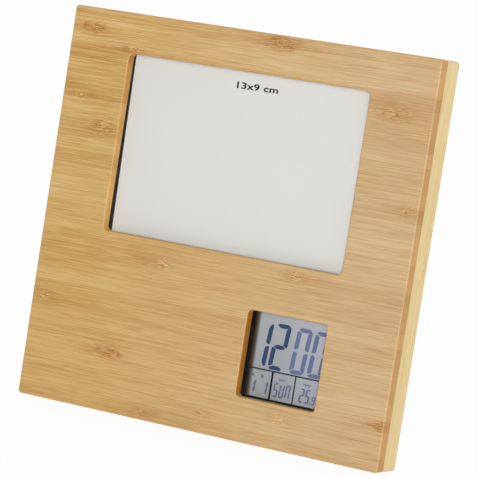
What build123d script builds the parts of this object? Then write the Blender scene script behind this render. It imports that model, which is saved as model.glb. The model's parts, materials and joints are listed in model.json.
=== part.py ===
from build123d import *
from math import cos, radians, sin
import os

# Every piece is drawn on the upright frame: X to the right, Y backward from the face, Z up from the lower
# edge. The whole is then leaned back until it stands on its lower rear edge and on its stand leg.

# The two bamboo boards of the frame
frame_width = 190.0
frame_height = 185.0
front_ply_thickness = 6.1
rear_ply_thickness = 12.9
lean_angle = 18.0
board_corner_radius = 1.5
board_edge_radius = 0.8

# The photo window and the pocket behind it
photo_window_width = 125.0
photo_window_top_margin = 18.7
bar_between_windows = 23.0
photo_window_corner_radius = 2.5
photo_lip_at_sides = 4.0
photo_lip_above_and_below = 5.0
window_lip = 4.7
window_edge_radius = 0.8
pocket_corner_radius = 2.5

# What lies in the photo pocket, from the lip backward
glazing_thickness = 1.9
card_play_at_sides = 3.0
card_play_above_and_below = 2.0
card_thickness = 0.3
card_shift = 1.7
card_skew_angle = 0.67
card_backer_thickness = 1.0
backing_board_thickness = 3.0

# The clock window
clock_window_width = 40.3
clock_window_height = 39.8
clock_window_right_margin = 35.3
clock_window_bottom_margin = 20.5
clock_window_corner_radius = 1.8

# The clock's case
case_wall = 1.5
case_corner_radius = 2.5
case_side_room = 1.0
case_boss_radius = 2.3
case_boss_gap = 0.65
case_screw_hole_radius = 0.8
display_ledge = 0.4
display_border = 0.9
display_border_above = 0.3
lens_thickness = 0.8
lens_overlap = 0.65
locating_rib = 1.0
locating_rib_height = 1.9

# The display, and how far the circuit board stands behind it
lcd_overlap_at_sides = 0.85
lcd_overlap_above_and_below = 0.95
lcd_plate_thickness = 1.1
lcd_contact_ledge = 4.0
reflector_thickness = 0.2
zebra_inset = 1.5
zebra_height = 2.4
lcd_foam_inset = 2.0
lcd_foam_height = 3.0
circuit_board_stand_off = 2.1
circuit_board_thickness = 1.2

# What is soldered to the circuit board
key_switch_size = 5.0
key_plunger_radius = 1.5
key_plunger_height = 1.0
chip_radius = 5.5
crystal_radius = 1.0
crystal_length = 6.0
thermistor_radius = 1.1
thermistor_stand_off = 2.6
lead_radius = 0.3
lead_spacing = 1.2
resistor_length = 2.0
resistor_width = 1.2
resistor_height = 0.6
resistor_count = 5
buzzer_margin = 3.15
buzzer_thickness = 0.4

# The clock's rear cover
cover_overlap = 1.0
cover_stand_off = 2.3
cover_panel_thickness = 3.0
cover_edge_radius = 0.6
spigot_wall = 1.2
spigot_depth = 1.3
ear_width = 9.0
ear_thickness = 1.6
vent_length = 2.2
vent_width = 1.0
vent_pitch = 2.2
vent_count = 4
case_screw_sink = 1.8

# The button cell with its contacts, its well and its sliding door
cell_radius = 10.0
cell_thickness = 3.2
cell_edge = 0.5
well_wall = 1.2
well_floor = 1.0
contact_thickness = 0.3
contact_width = 4.0
contact_length = 13.0
contact_slot_clearance = 0.2
door_cell_margin = 1.7
door_plate_thickness = 1.2
door_tongue_thickness = 0.6
door_tongue_reach = 1.0
door_start_margin = 2.0
door_rib_width = 0.8
door_rib_length = 10.0
door_rib_height = 0.4
door_rib_pitch = 1.8
door_rib_count = 5

# The push buttons
button_names = ("mode_button", "set_button", "up_button", "down_button")
button_cap_radius = 2.8
button_cap_proud = 1.0
button_crown_radius = 0.5
button_flange_radius = 3.8
button_flange_thickness = 0.8
button_travel = 0.8

# The turn buttons that hold the backing board
turn_button_thickness = 1.2
turn_button_edge_radius = 0.3
turn_button_pivot_radius = 5.0
turn_button_tip_radius = 3.5
turn_button_reach = 3.5
turn_button_setback = 7.0
turn_button_spread = 24.0

# The screws
turn_screw_head_radius = 3.0
turn_screw_head_height = 1.8
turn_screw_radius = 1.5
turn_screw_tip_gap = 1.55
module_screw_head_radius = 2.6
module_screw_head_height = 1.5
module_screw_radius = 1.3
module_screw_length = 9.0
case_screw_head_radius = 1.7
case_screw_head_height = 1.1
case_screw_radius = 0.75
case_screw_tip_gap = 1.5
screw_rim_share = 0.45

# The stand leg and its hinge
leg_width = 27.0
leg_thickness = 5.0
leg_top_gap = 3.0
leg_corner_radius = 4.0
leg_edge_radius = 0.6
leg_open_angle = 32.0
hinge_width = 24.0
hinge_leaf_thickness = 0.8
fixed_leaf_height = 21.0
fixed_leaf_top_margin = 5.3
moving_leaf_height = 22.0
leaf_corner_radius = 2.0
knuckle_radius = 2.0
knuckle_side_length = 6.0
hinge_pin_radius = 1.1
hinge_pin_end = 0.5
stop_tongue_width = 8.0
stop_tongue_height = 9.0
rivet_radius = 1.4
rivet_head_radius = 2.4
rivet_head_height = 0.6
rivet_side_margin = 4.0
rivet_row_shares = (0.38, 0.76)

# Clearances, and how far a cut runs past what it cuts
seat_clearance = 0.05
side_clearance = 0.3
moving_clearance = 0.3
pin_clearance = 0.05
overrun = 1.0

# Depths behind the face
frame_thickness = front_ply_thickness + rear_ply_thickness
glazing_front = window_lip + seat_clearance
card_front = glazing_front + glazing_thickness + seat_clearance
card_backer_front = card_front + card_thickness + seat_clearance
filler_front = card_backer_front + card_backer_thickness + seat_clearance
backing_board_back = frame_thickness - seat_clearance
backing_board_front = backing_board_back - backing_board_thickness
case_front = window_lip + seat_clearance
case_back = frame_thickness - seat_clearance
lens_front = case_front + seat_clearance
ledge_front = lens_front + lens_thickness + seat_clearance
cavity_front = ledge_front + display_ledge
lcd_front = cavity_front + seat_clearance
lcd_back = lcd_front + 2 * lcd_plate_thickness
reflector_back = lcd_back + seat_clearance + reflector_thickness
circuit_board_front = lcd_back + circuit_board_stand_off
circuit_board_back = circuit_board_front + circuit_board_thickness
cover_front = frame_thickness + seat_clearance
cover_back = frame_thickness + cover_stand_off
panel_front = cover_back - cover_panel_thickness
case_screw_seat = cover_back - case_screw_sink
door_tongue_back = cover_back - door_plate_thickness
door_tongue_front = door_tongue_back - door_tongue_thickness
channel_floor = door_tongue_front - moving_clearance
cell_back = channel_floor - 2 * moving_clearance
cell_front = cell_back - cell_thickness
well_floor_back = cell_front - contact_thickness - 2 * seat_clearance
well_floor_front = well_floor_back - well_floor
button_flange_back = panel_front - moving_clearance
button_flange_front = button_flange_back - button_flange_thickness
key_plunger_back = button_flange_front - button_travel - moving_clearance
key_switch_back = key_plunger_back - key_plunger_height
chip_height = (well_floor_front - circuit_board_back) / 2
case_screw_length = case_screw_seat + seat_clearance - cavity_front - case_screw_tip_gap
fixed_leaf_back = backing_board_back + hinge_leaf_thickness
pin_depth = backing_board_back + moving_clearance + knuckle_radius
moving_leaf_front = fixed_leaf_back + moving_clearance
moving_leaf_back = moving_leaf_front + hinge_leaf_thickness
leg_front = moving_leaf_back + seat_clearance
leg_back = leg_front + leg_thickness
turn_button_front = frame_thickness + moving_clearance
turn_button_back = turn_button_front + turn_button_thickness
turn_screw_seat = turn_button_back + seat_clearance
turn_screw_length = turn_screw_seat - front_ply_thickness - turn_screw_tip_gap

# Sizes and places of the photo's window, pocket and card across the face
clock_window_top = clock_window_bottom_margin + clock_window_height
photo_window_bottom = clock_window_top + bar_between_windows
photo_window_height = frame_height - photo_window_top_margin - photo_window_bottom
photo_pocket_width = photo_window_width + 2 * photo_lip_at_sides
photo_pocket_height = photo_window_height + 2 * photo_lip_above_and_below
photo_z = photo_window_bottom + photo_window_height / 2
card_width = photo_pocket_width - 2 * card_play_at_sides
card_height = photo_pocket_height - 2 * card_play_above_and_below
card_reach = (card_height * cos(radians(card_skew_angle)) + card_width * sin(radians(card_skew_angle))) / 2
card_z = photo_z - photo_pocket_height / 2 + card_reach + seat_clearance

# Sizes and places of the clock's display, case and cover
clock_x = frame_width / 2 - clock_window_right_margin - clock_window_width / 2
clock_z = clock_window_bottom_margin + clock_window_height / 2
lcd_width = clock_window_width + 2 * lcd_overlap_at_sides
lcd_height = clock_window_height + 2 * lcd_overlap_above_and_below
boss_margin = case_boss_radius + case_wall / 2
cavity_width = lcd_width + 2 * case_side_room
cavity_height = lcd_height + 2 * (case_boss_gap + case_boss_radius + boss_margin)
case_width = cavity_width + 2 * case_wall
case_height = cavity_height + 2 * case_wall
boss_x = cavity_width / 2 - boss_margin
boss_z = cavity_height / 2 - boss_margin
cover_width = case_width + 2 * cover_overlap
cover_height = case_height + 2 * cover_overlap
spigot_width = cavity_width - 2 * side_clearance
spigot_height = cavity_height - 2 * side_clearance
spigot_inner_width = spigot_width - 2 * spigot_wall
spigot_inner_height = spigot_height - 2 * spigot_wall
ear_z = cover_height / 2 + 2 * side_clearance + module_screw_head_radius

# Places of the push buttons, the battery's well and door, and what lies beside the well
button_pitch = spigot_inner_width / len(button_names)
button_z = clock_z + cavity_height / 2 - 2 * case_boss_radius - 2 * button_flange_radius
well_radius = cell_radius + moving_clearance
well_x = clock_x - cavity_width / 2 + well_radius + 2 * well_wall + door_start_margin
door_height = 2 * (well_radius + door_cell_margin)
door_reach = door_height / 2 + door_tongue_reach
well_z = clock_z - cavity_height / 2 + 2 * case_boss_radius + door_reach + 2 * well_wall
door_start = well_x - well_radius - door_start_margin
door_end = clock_x + cover_width / 2
contact_side_x = well_x + cell_radius + 2 * seat_clearance
beside_well = well_x + well_radius + well_wall
beside_well_width = clock_x + spigot_inner_width / 2 - beside_well
buzzer_x = beside_well + beside_well_width / 2
buzzer_radius = beside_well_width / 2 - buzzer_margin
resistor_pitch = beside_well_width / resistor_count
vent_z = (well_z + door_reach + button_z - button_flange_radius) / 2

# Places of the turn buttons and of the leg's hinge on the backing board
turn_button_x = photo_pocket_width / 2 + turn_button_setback
turn_button_length = turn_button_setback + turn_button_reach
hinge_height = photo_z + photo_pocket_height / 2 - fixed_leaf_top_margin - fixed_leaf_height
side_knuckle_start = hinge_width / 2 - knuckle_side_length
knuckle_middle_length = 2 * (side_knuckle_start - moving_clearance)
hinge_pin_length = hinge_width + 2 * hinge_pin_end
rivet_spread = hinge_width / 2 - rivet_side_margin

# Places of what repeats, each with its side and its end of the frame
turn_button_places = {
    "turn_button_upper_left": (-turn_button_x, photo_z + turn_button_spread),
    "turn_button_upper_right": (turn_button_x, photo_z + turn_button_spread),
    "turn_button_lower_left": (-turn_button_x, photo_z - turn_button_spread),
    "turn_button_lower_right": (turn_button_x, photo_z - turn_button_spread)}
button_places = {
    name: (clock_x + (place - (len(button_names) - 1) / 2) * button_pitch, button_z)
    for place, name in enumerate(button_names)}
boss_places = [(clock_x + side * boss_x, clock_z + end * boss_z) for side in (-1, 1) for end in (-1, 1)]
ear_places = [(clock_x, clock_z + end * ear_z) for end in (-1, 1)]
fixed_rivet_places = [(side * rivet_spread, hinge_height + fixed_leaf_height * share)
                      for side in (-1, 1) for share in rivet_row_shares]
leg_rivet_places = [(side * rivet_spread, hinge_height - moving_leaf_height * share)
                    for side in (-1, 1) for share in rivet_row_shares]
vent_places = [(buzzer_x + (place - (vent_count - 1) / 2) * vent_pitch, vent_z)
               for place in range(vent_count)]

# The leg swings about its pin, and the upright frame leans back and is lifted onto the table
backward = (0, 1, 0)
rightward = (1, 0, 0)
at_pin = Pos(0, pin_depth, hinge_height)
opened = at_pin * Rot(leg_open_angle, 0, 0) * at_pin.inverse()
lift = ((frame_thickness - board_edge_radius) * sin(radians(lean_angle))
        - board_edge_radius * cos(radians(lean_angle)) + board_edge_radius)
standing = Pos(0, 0, lift) * Rot(-lean_angle, 0, 0)


def carry_back(outline, front, back, x=0, z=0):
    """Carries an outline drawn on the face from one depth back to another."""
    return extrude(Plane.XZ.offset(-front) * Pos(x, z) * outline, back - front, dir=backward)


def carry_right(outline, left, right, depth, z):
    """Carries an outline drawn on the side from left to right."""
    return extrude(Plane.YZ.offset(left) * Pos(depth, z) * outline, right - left, dir=rightward)


def at_each(places, outline, front, back):
    """The same outline carried back at each place."""
    return Part() + [carry_back(outline, front, back, x, z) for x, z in places]


def rear_rim(solid):
    """The edges of the rearmost flat face."""
    return solid.faces().sort_by(Axis.Y)[-1].edges()


def front_rim(solid):
    """The edges of the foremost flat face."""
    return solid.faces().sort_by(Axis.Y)[0].edges()


def turned(profile, x, z):
    """A profile drawn as radius and depth, turned about an axis that runs backward."""
    return Pos(x, 0, z) * revolve(make_face(profile), Axis.Y)


def board(front, back):
    """A full board of the frame between two depths."""
    outline = RectangleRounded(frame_width, frame_height, board_corner_radius)
    return carry_back(outline, front, back, 0, frame_height / 2)


def photo_pocket(front, back):
    """The space of the photo pocket between two depths."""
    outline = RectangleRounded(photo_pocket_width, photo_pocket_height, pocket_corner_radius)
    return carry_back(outline, front, back, 0, photo_z)


def photo_sheet(front, back):
    """A sheet that fills the photo pocket, with clearance round its edge."""
    outline = RectangleRounded(photo_pocket_width, photo_pocket_height, pocket_corner_radius)
    return carry_back(offset(outline, -side_clearance), front, back, 0, photo_z)


def clock_pocket(front, back):
    """The space of the clock's pocket between two depths."""
    outline = RectangleRounded(case_width + 2 * side_clearance, case_height + 2 * side_clearance,
                               case_corner_radius + side_clearance)
    return carry_back(outline, front, back, clock_x, clock_z)


def is_window_edge(edge):
    """Tells an edge of a window from an edge of the board's rim."""
    margin = min(photo_window_top_margin, clock_window_bottom_margin) / 2
    middle = edge.center()
    return abs(middle.X) < frame_width / 2 - margin and margin < middle.Z < frame_height - margin


def front_ply():
    """The front board with its softened rim, two windows and a lip left in front of each pocket."""
    ply = fillet(front_rim(board(0, front_ply_thickness)), board_edge_radius)
    ply -= carry_back(RectangleRounded(photo_window_width, photo_window_height, photo_window_corner_radius),
                      -overrun, front_ply_thickness + overrun, 0, photo_z)
    ply -= carry_back(RectangleRounded(clock_window_width, clock_window_height, clock_window_corner_radius),
                      -overrun, front_ply_thickness + overrun, clock_x, clock_z)
    ply = fillet(front_rim(ply).filter_by(is_window_edge), window_edge_radius)
    ply -= photo_pocket(window_lip, front_ply_thickness + overrun)
    return ply - clock_pocket(window_lip, front_ply_thickness + overrun)


def rear_ply():
    """The rear board with both pockets through it and a pilot hole for each wood screw."""
    ply = fillet(rear_rim(board(front_ply_thickness, frame_thickness)), board_edge_radius)
    ply -= photo_pocket(front_ply_thickness - overrun, frame_thickness + overrun)
    ply -= clock_pocket(front_ply_thickness - overrun, frame_thickness + overrun)
    ply -= at_each(turn_button_places.values(), Circle(turn_screw_radius + seat_clearance),
                   turn_screw_seat - turn_screw_length, frame_thickness + overrun)
    return ply - at_each(ear_places, Circle(module_screw_radius + seat_clearance),
                         cover_front + ear_thickness - module_screw_length, frame_thickness + overrun)


def photo_card():
    """The insert card, a little askew, standing on the floor of the pocket."""
    outline = Rot(0, 0, card_skew_angle) * Rectangle(card_width, card_height)
    return carry_back(outline, card_front, card_front + card_thickness, card_shift, card_z)


def backing_board():
    """The hardboard that closes the pocket, with a sunk hole for each rivet of the hinge."""
    panel = photo_sheet(backing_board_front, backing_board_back)
    panel -= at_each(fixed_rivet_places, Circle(rivet_radius + seat_clearance),
                     backing_board_front - overrun, backing_board_back + overrun)
    return panel - at_each(fixed_rivet_places, Circle(rivet_head_radius + seat_clearance),
                           backing_board_front - overrun, backing_board_front + rivet_head_height)


def turn_button(x, z):
    """A flat tab that tapers from its pivot to a round tip over the backing board's edge."""
    tip = Pos(-turn_button_length if x > 0 else turn_button_length, 0)
    outline = make_hull([Edge.make_circle(turn_button_pivot_radius),
                         tip * Edge.make_circle(turn_button_tip_radius)])
    tab = carry_back(outline, turn_button_front, turn_button_back, x, z)
    tab = fillet(rear_rim(tab), turn_button_edge_radius)
    return tab - carry_back(Circle(turn_screw_radius + pin_clearance), turn_button_front - overrun,
                            turn_button_back + overrun, x, z)


def screw(x, z, seat, head_radius, head_height, shank_radius, length):
    """A domed screw that points at the face, with the underside of its head at the seat."""
    tip = seat - length
    top = seat + head_height
    rim = seat + head_height * screw_rim_share
    outline = Polyline((head_radius, rim), (head_radius, seat), (shank_radius, seat),
                       (shank_radius, tip + shank_radius), (0, tip), (0, top))
    return turned(outline + TangentArc((0, top), (head_radius, rim), tangent=rightward), x, z)


def screws(places, seat, head_radius, head_height, shank_radius, length):
    return Part() + [screw(x, z, seat, head_radius, head_height, shank_radius, length) for x, z in places]


def rivet(x, z, front, back):
    """A rivet that grips what lies between two depths, with a domed head at each end."""
    outline = Polyline((0, front - rivet_head_height), (0, back + rivet_head_height))
    outline += TangentArc((0, back + rivet_head_height), (rivet_head_radius, back), tangent=rightward)
    outline += Polyline((rivet_head_radius, back), (rivet_radius, back), (rivet_radius, front),
                        (rivet_head_radius, front))
    outline += TangentArc((0, front - rivet_head_height), (rivet_head_radius, front), tangent=rightward)
    return turned(outline, x, z)


def knuckles(spans, bore_radius):
    """The rolled knuckles of a leaf round the pin, over each span from left to right."""
    rings = Part() + [carry_right(Circle(knuckle_radius), left, right, pin_depth, hinge_height)
                      for left, right in spans]
    return rings - pin_bore(bore_radius)


def pin_bore(radius):
    return carry_right(Circle(radius), -hinge_width, hinge_width, pin_depth, hinge_height)


def leaf_outline(height, free_end):
    """A leaf's plate with its free end, up or down, rounded at the corners."""
    plate = Rectangle(hinge_width, height)
    return fillet(plate.vertices().group_by(Axis.Y)[free_end], leaf_corner_radius)


def hinge_leaf_fixed():
    """The leaf on the backing board: a plate above the pin, notched round the middle knuckle."""
    leaf = carry_back(leaf_outline(fixed_leaf_height, -1), backing_board_back, fixed_leaf_back,
                      0, hinge_height + fixed_leaf_height / 2)
    leaf -= carry_back(Rectangle(2 * side_knuckle_start, 2 * (knuckle_radius + moving_clearance)),
                       backing_board_back - overrun, fixed_leaf_back + overrun, 0, hinge_height)
    leaf -= at_each(fixed_rivet_places, Circle(rivet_radius + seat_clearance),
                    backing_board_back - overrun, fixed_leaf_back + overrun)
    spans = [(-hinge_width / 2, -side_knuckle_start), (side_knuckle_start, hinge_width / 2)]
    return leaf + knuckles(spans, hinge_pin_radius)


def hinge_leaf_moving():
    """The leaf on the leg, with its middle knuckle and the tongue that stops the leg when it is open."""
    top = hinge_height - knuckle_radius - moving_clearance
    plate_height = moving_leaf_height - knuckle_radius - moving_clearance
    leaf = carry_back(leaf_outline(plate_height, 0), moving_leaf_front, moving_leaf_back,
                      0, top - plate_height / 2)
    leaf -= at_each(leg_rivet_places, Circle(rivet_radius + seat_clearance),
                    moving_leaf_front - overrun, moving_leaf_back + overrun)
    neck_height = hinge_height - top + overrun
    leaf += carry_back(Rectangle(knuckle_middle_length, neck_height), moving_leaf_front, moving_leaf_back,
                       0, hinge_height - neck_height / 2)
    tongue = carry_back(Rectangle(stop_tongue_width, stop_tongue_height), moving_leaf_front, moving_leaf_back,
                        0, hinge_height + stop_tongue_height / 2)
    middle = (-knuckle_middle_length / 2, knuckle_middle_length / 2)
    rolled = carry_right(Circle(knuckle_radius), *middle, pin_depth, hinge_height)
    return opened * leaf + tongue + rolled - pin_bore(hinge_pin_radius + pin_clearance)


def hinge_pin():
    return carry_right(Circle(hinge_pin_radius), -hinge_pin_length / 2, hinge_pin_length / 2,
                       pin_depth, hinge_height)


def stand_leg():
    """The strut, swung open and cut level where it meets the table."""
    top = hinge_height - leg_top_gap
    length = top + frame_thickness
    outline = Rectangle(leg_width, length)
    outline = fillet(outline.vertices().group_by(Axis.Y)[-1], leg_corner_radius)
    leg = carry_back(outline, leg_front, leg_back, 0, top - length / 2)
    leg = fillet(rear_rim(leg), leg_edge_radius)
    leg -= at_each(leg_rivet_places, Circle(rivet_radius + seat_clearance),
                   leg_front - overrun, leg_back + overrun)
    below_table = Box(frame_width, 2 * frame_height, frame_height,
                      align=(Align.CENTER, Align.CENTER, Align.MAX))
    return opened * leg - standing.inverse() * below_table


def clock_case_front():
    """The case's front half: a deep tray with the lens seat, the display opening and the screw bosses."""
    tray = carry_back(RectangleRounded(case_width, case_height, case_corner_radius), case_front, case_back,
                      clock_x, clock_z)
    tray -= carry_back(RectangleRounded(cavity_width, cavity_height, case_corner_radius - case_wall),
                       cavity_front, case_back + overrun, clock_x, clock_z)
    tray -= carry_back(lens_outline(seat_clearance), case_front - overrun, ledge_front, clock_x, clock_z)
    opening_height = clock_window_height - display_border - display_border_above
    opening = Rectangle(clock_window_width - 2 * display_border, opening_height)
    tray -= carry_back(opening, ledge_front - overrun, cavity_front + overrun, clock_x,
                       clock_z + (display_border - display_border_above) / 2)
    rib_z = lcd_height / 2 + side_clearance + locating_rib / 2
    rib_places = [(clock_x, clock_z - rib_z), (clock_x, clock_z + rib_z)]
    tray += at_each(rib_places, Rectangle(cavity_width + case_wall, locating_rib),
                    cavity_front, cavity_front + locating_rib_height)
    tray += at_each(boss_places, Circle(case_boss_radius), cavity_front, circuit_board_front - seat_clearance)
    return tray - at_each(boss_places, Circle(case_screw_hole_radius), cavity_front, circuit_board_front)


def lens_outline(clearance):
    width = clock_window_width + 2 * (lens_overlap + clearance)
    height = clock_window_height + 2 * (lens_overlap + clearance)
    return RectangleRounded(width, height, clock_window_corner_radius)


def lcd_panel():
    """The display's two glass plates: the front one is longer and leaves a ledge for the connector."""
    step = lcd_front + lcd_plate_thickness
    panel = carry_back(Rectangle(lcd_width, lcd_height), lcd_front, step, clock_x, clock_z)
    return panel + carry_back(Rectangle(lcd_width, lcd_height - lcd_contact_ledge), step, lcd_back,
                              clock_x, clock_z - lcd_contact_ledge / 2)


def lcd_reflector():
    outline = Rectangle(lcd_width - 2 * side_clearance, lcd_height - lcd_contact_ledge - 2 * side_clearance)
    return carry_back(outline, lcd_back + seat_clearance, reflector_back,
                      clock_x, clock_z - lcd_contact_ledge / 2)


def zebra_strip():
    outline = Rectangle(lcd_width - 2 * zebra_inset, zebra_height)
    return carry_back(outline, lcd_front + lcd_plate_thickness + seat_clearance,
                      circuit_board_front - seat_clearance,
                      clock_x, clock_z + (lcd_height - lcd_contact_ledge) / 2)


def lcd_foam():
    outline = Rectangle(lcd_width - 2 * lcd_foam_inset, lcd_foam_height)
    return carry_back(outline, reflector_back + seat_clearance,
                      circuit_board_front - seat_clearance,
                      clock_x, clock_z - lcd_height / 2 + lcd_foam_height)


def circuit_board():
    outline = Rectangle(cavity_width - 2 * side_clearance, cavity_height - 2 * side_clearance)
    panel = carry_back(outline, circuit_board_front, circuit_board_back, clock_x, clock_z)
    return panel - at_each(boss_places, Circle(case_screw_hole_radius + side_clearance),
                           circuit_board_front - overrun, circuit_board_back + overrun)


def key_switches():
    """A switch with its plunger under each push button."""
    bodies = at_each(button_places.values(), Rectangle(key_switch_size, key_switch_size),
                     circuit_board_back + seat_clearance, key_switch_back)
    return bodies + at_each(button_places.values(), Circle(key_plunger_radius),
                            key_switch_back, key_plunger_back)


def clock_chip():
    """The drop of resin over the chip."""
    base = circuit_board_back + seat_clearance
    outline = Polyline((chip_radius, base), (0, base), (0, base + chip_height))
    return turned(outline + TangentArc((0, base + chip_height), (chip_radius, base), tangent=rightward),
                  well_x, well_z)


def quartz_crystal():
    depth = circuit_board_back + seat_clearance + crystal_radius
    return carry_right(Circle(crystal_radius), buzzer_x - crystal_length / 2, buzzer_x + crystal_length / 2,
                       depth, well_z + buzzer_radius + 2 * crystal_radius)


def thermistor():
    """The bead that senses the temperature, standing on its two leads under the vents."""
    depth = circuit_board_back + thermistor_stand_off
    bead = Pos(buzzer_x, depth, vent_z) * Sphere(thermistor_radius)
    lead_places = [(buzzer_x + side * lead_spacing / 2, vent_z) for side in (-1, 1)]
    return bead + at_each(lead_places, Circle(lead_radius), circuit_board_back + seat_clearance, depth)


def small_components():
    """A row of resistors and capacitors below the buzzer."""
    row_z = well_z - buzzer_radius - 2 * resistor_width
    places = [(buzzer_x + (place - (resistor_count - 1) / 2) * resistor_pitch, row_z)
              for place in range(resistor_count)]
    base = circuit_board_back + seat_clearance
    return at_each(places, Rectangle(resistor_width, resistor_length), base, base + resistor_height)


def buzzer_disc():
    """The thin disc stuck to the inside of the cover that sounds the alarm."""
    back = panel_front - seat_clearance
    return carry_back(Circle(buzzer_radius), back - buzzer_thickness, back, buzzer_x, well_z)


def buzzer_wires():
    places = [(buzzer_x + side * buzzer_radius / 2, well_z) for side in (-1, 1)]
    return at_each(places, Circle(lead_radius), circuit_board_back + seat_clearance,
                   panel_front - 2 * seat_clearance - buzzer_thickness)


def button_cell():
    """A coin cell with its smaller face forward."""
    face_radius = cell_radius - 2 * cell_edge
    return turned(Polyline((0, cell_front), (face_radius, cell_front), (face_radius, cell_front + cell_edge),
                           (cell_radius, cell_front + 2 * cell_edge), (cell_radius, cell_back),
                           (0, cell_back), (0, cell_front)), well_x, well_z)


def battery_contact_negative():
    """A strip on the floor of the well with a tab down to the circuit board."""
    left = well_x - contact_length / 2
    strip_front = well_floor_back + seat_clearance
    strip_back = strip_front + contact_thickness
    strip = carry_back(Rectangle(contact_length, contact_width), strip_front, strip_back, well_x, well_z)
    return strip + carry_back(Rectangle(contact_thickness, contact_width), circuit_board_back + seat_clearance,
                              strip_back, left + contact_thickness / 2, well_z)


def battery_contact_positive():
    """A strip that bears on the rim of the cell."""
    return carry_back(Rectangle(contact_thickness, contact_width), circuit_board_back + seat_clearance,
                      cell_back - cell_edge, contact_side_x + contact_thickness / 2, well_z)


def door_section(height_over, front, back, start, end):
    """A length of the door's section, or of the channel that it slides in."""
    return carry_back(Rectangle(end - start, height_over), front, back, (start + end) / 2, well_z)


def door_channel():
    """What the door's channel takes out of the cover: the slot and the grooves of the tongues."""
    start = door_start - moving_clearance
    end = door_end + overrun
    slot = door_section(door_height + 2 * moving_clearance, channel_floor, cover_back + overrun, start, end)
    grooves_height = door_height + 2 * (door_tongue_reach + moving_clearance)
    grooves = door_section(grooves_height, channel_floor, door_tongue_back + moving_clearance, start, end)
    rim = door_section(grooves_height, cover_front - overrun, channel_floor + seat_clearance,
                       clock_x + cavity_width / 2 - side_clearance, end)
    return slot + grooves + rim


def battery_door():
    """The sliding door: a plate with a tongue along each side and ribs for the thumb."""
    door = door_section(door_height, door_tongue_back, cover_back, door_start, door_end)
    door += door_section(door_height + 2 * door_tongue_reach, door_tongue_front, door_tongue_back,
                         door_start, door_end)
    places = [(door_end - (place + 2) * door_rib_pitch, well_z) for place in range(door_rib_count)]
    return door + at_each(places, Rectangle(door_rib_width, door_rib_length), cover_back,
                          cover_back + door_rib_height)


def cover_shell():
    """The cover's plate over the pocket, its ears, and the spigot that fits inside the case."""
    cover = carry_back(RectangleRounded(cover_width, cover_height, case_corner_radius + cover_overlap),
                       cover_front, cover_back, clock_x, clock_z)
    cover = fillet(rear_rim(cover), cover_edge_radius)
    ears = Rot(0, 0, 90) * SlotOverall(2 * ear_z + ear_width, ear_width)
    cover += carry_back(ears, cover_front, cover_front + ear_thickness, clock_x, clock_z)
    cover += carry_back(Rectangle(spigot_width, spigot_height), panel_front - spigot_depth,
                        cover_back - overrun, clock_x, clock_z)
    return cover - carry_back(Rectangle(spigot_inner_width, spigot_inner_height),
                              panel_front - spigot_depth - overrun, panel_front, clock_x, clock_z)


def clock_case_back():
    """The rear cover with its bosses, battery well, door channel, button bores, vents and screw holes."""
    cover = cover_shell()
    cover += at_each(boss_places, Circle(case_boss_radius), circuit_board_back + seat_clearance, panel_front)
    cover += carry_back(Circle(well_radius + well_wall), well_floor_front, panel_front, well_x, well_z)
    cover -= carry_back(Circle(well_radius), well_floor_back, channel_floor + overrun, well_x, well_z)
    cover -= door_channel()
    cover -= at_each(button_places.values(), Circle(button_cap_radius + moving_clearance),
                     panel_front - overrun, cover_back + overrun)
    cover -= at_each(boss_places, Circle(case_screw_hole_radius + seat_clearance),
                     circuit_board_back - overrun, cover_back + overrun)
    cover -= at_each(boss_places, Circle(case_screw_head_radius + seat_clearance),
                     case_screw_seat, cover_back + overrun)
    cover -= at_each(ear_places, Circle(module_screw_radius + seat_clearance),
                     cover_front - overrun, cover_back + overrun)
    cover -= at_each(vent_places, Rectangle(vent_width, vent_length),
                     panel_front - overrun, cover_back + overrun)
    slot = Rectangle(contact_thickness + 2 * contact_slot_clearance,
                     contact_width + 2 * contact_slot_clearance)
    cover -= carry_back(slot, well_floor_front - overrun, well_floor_back + overrun,
                        well_x - (contact_length - contact_thickness) / 2, well_z)
    return cover - carry_back(slot, well_floor_front - overrun, channel_floor + overrun,
                              contact_side_x + contact_thickness / 2, well_z)


def push_button(x, z):
    """A button with a crowned cap and the flange that keeps it behind the cover."""
    cap = carry_back(Circle(button_cap_radius), button_flange_back, cover_back + button_cap_proud, x, z)
    cap = fillet(rear_rim(cap), button_crown_radius)
    return cap + carry_back(Circle(button_flange_radius), button_flange_front, button_flange_back, x, z)


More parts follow.
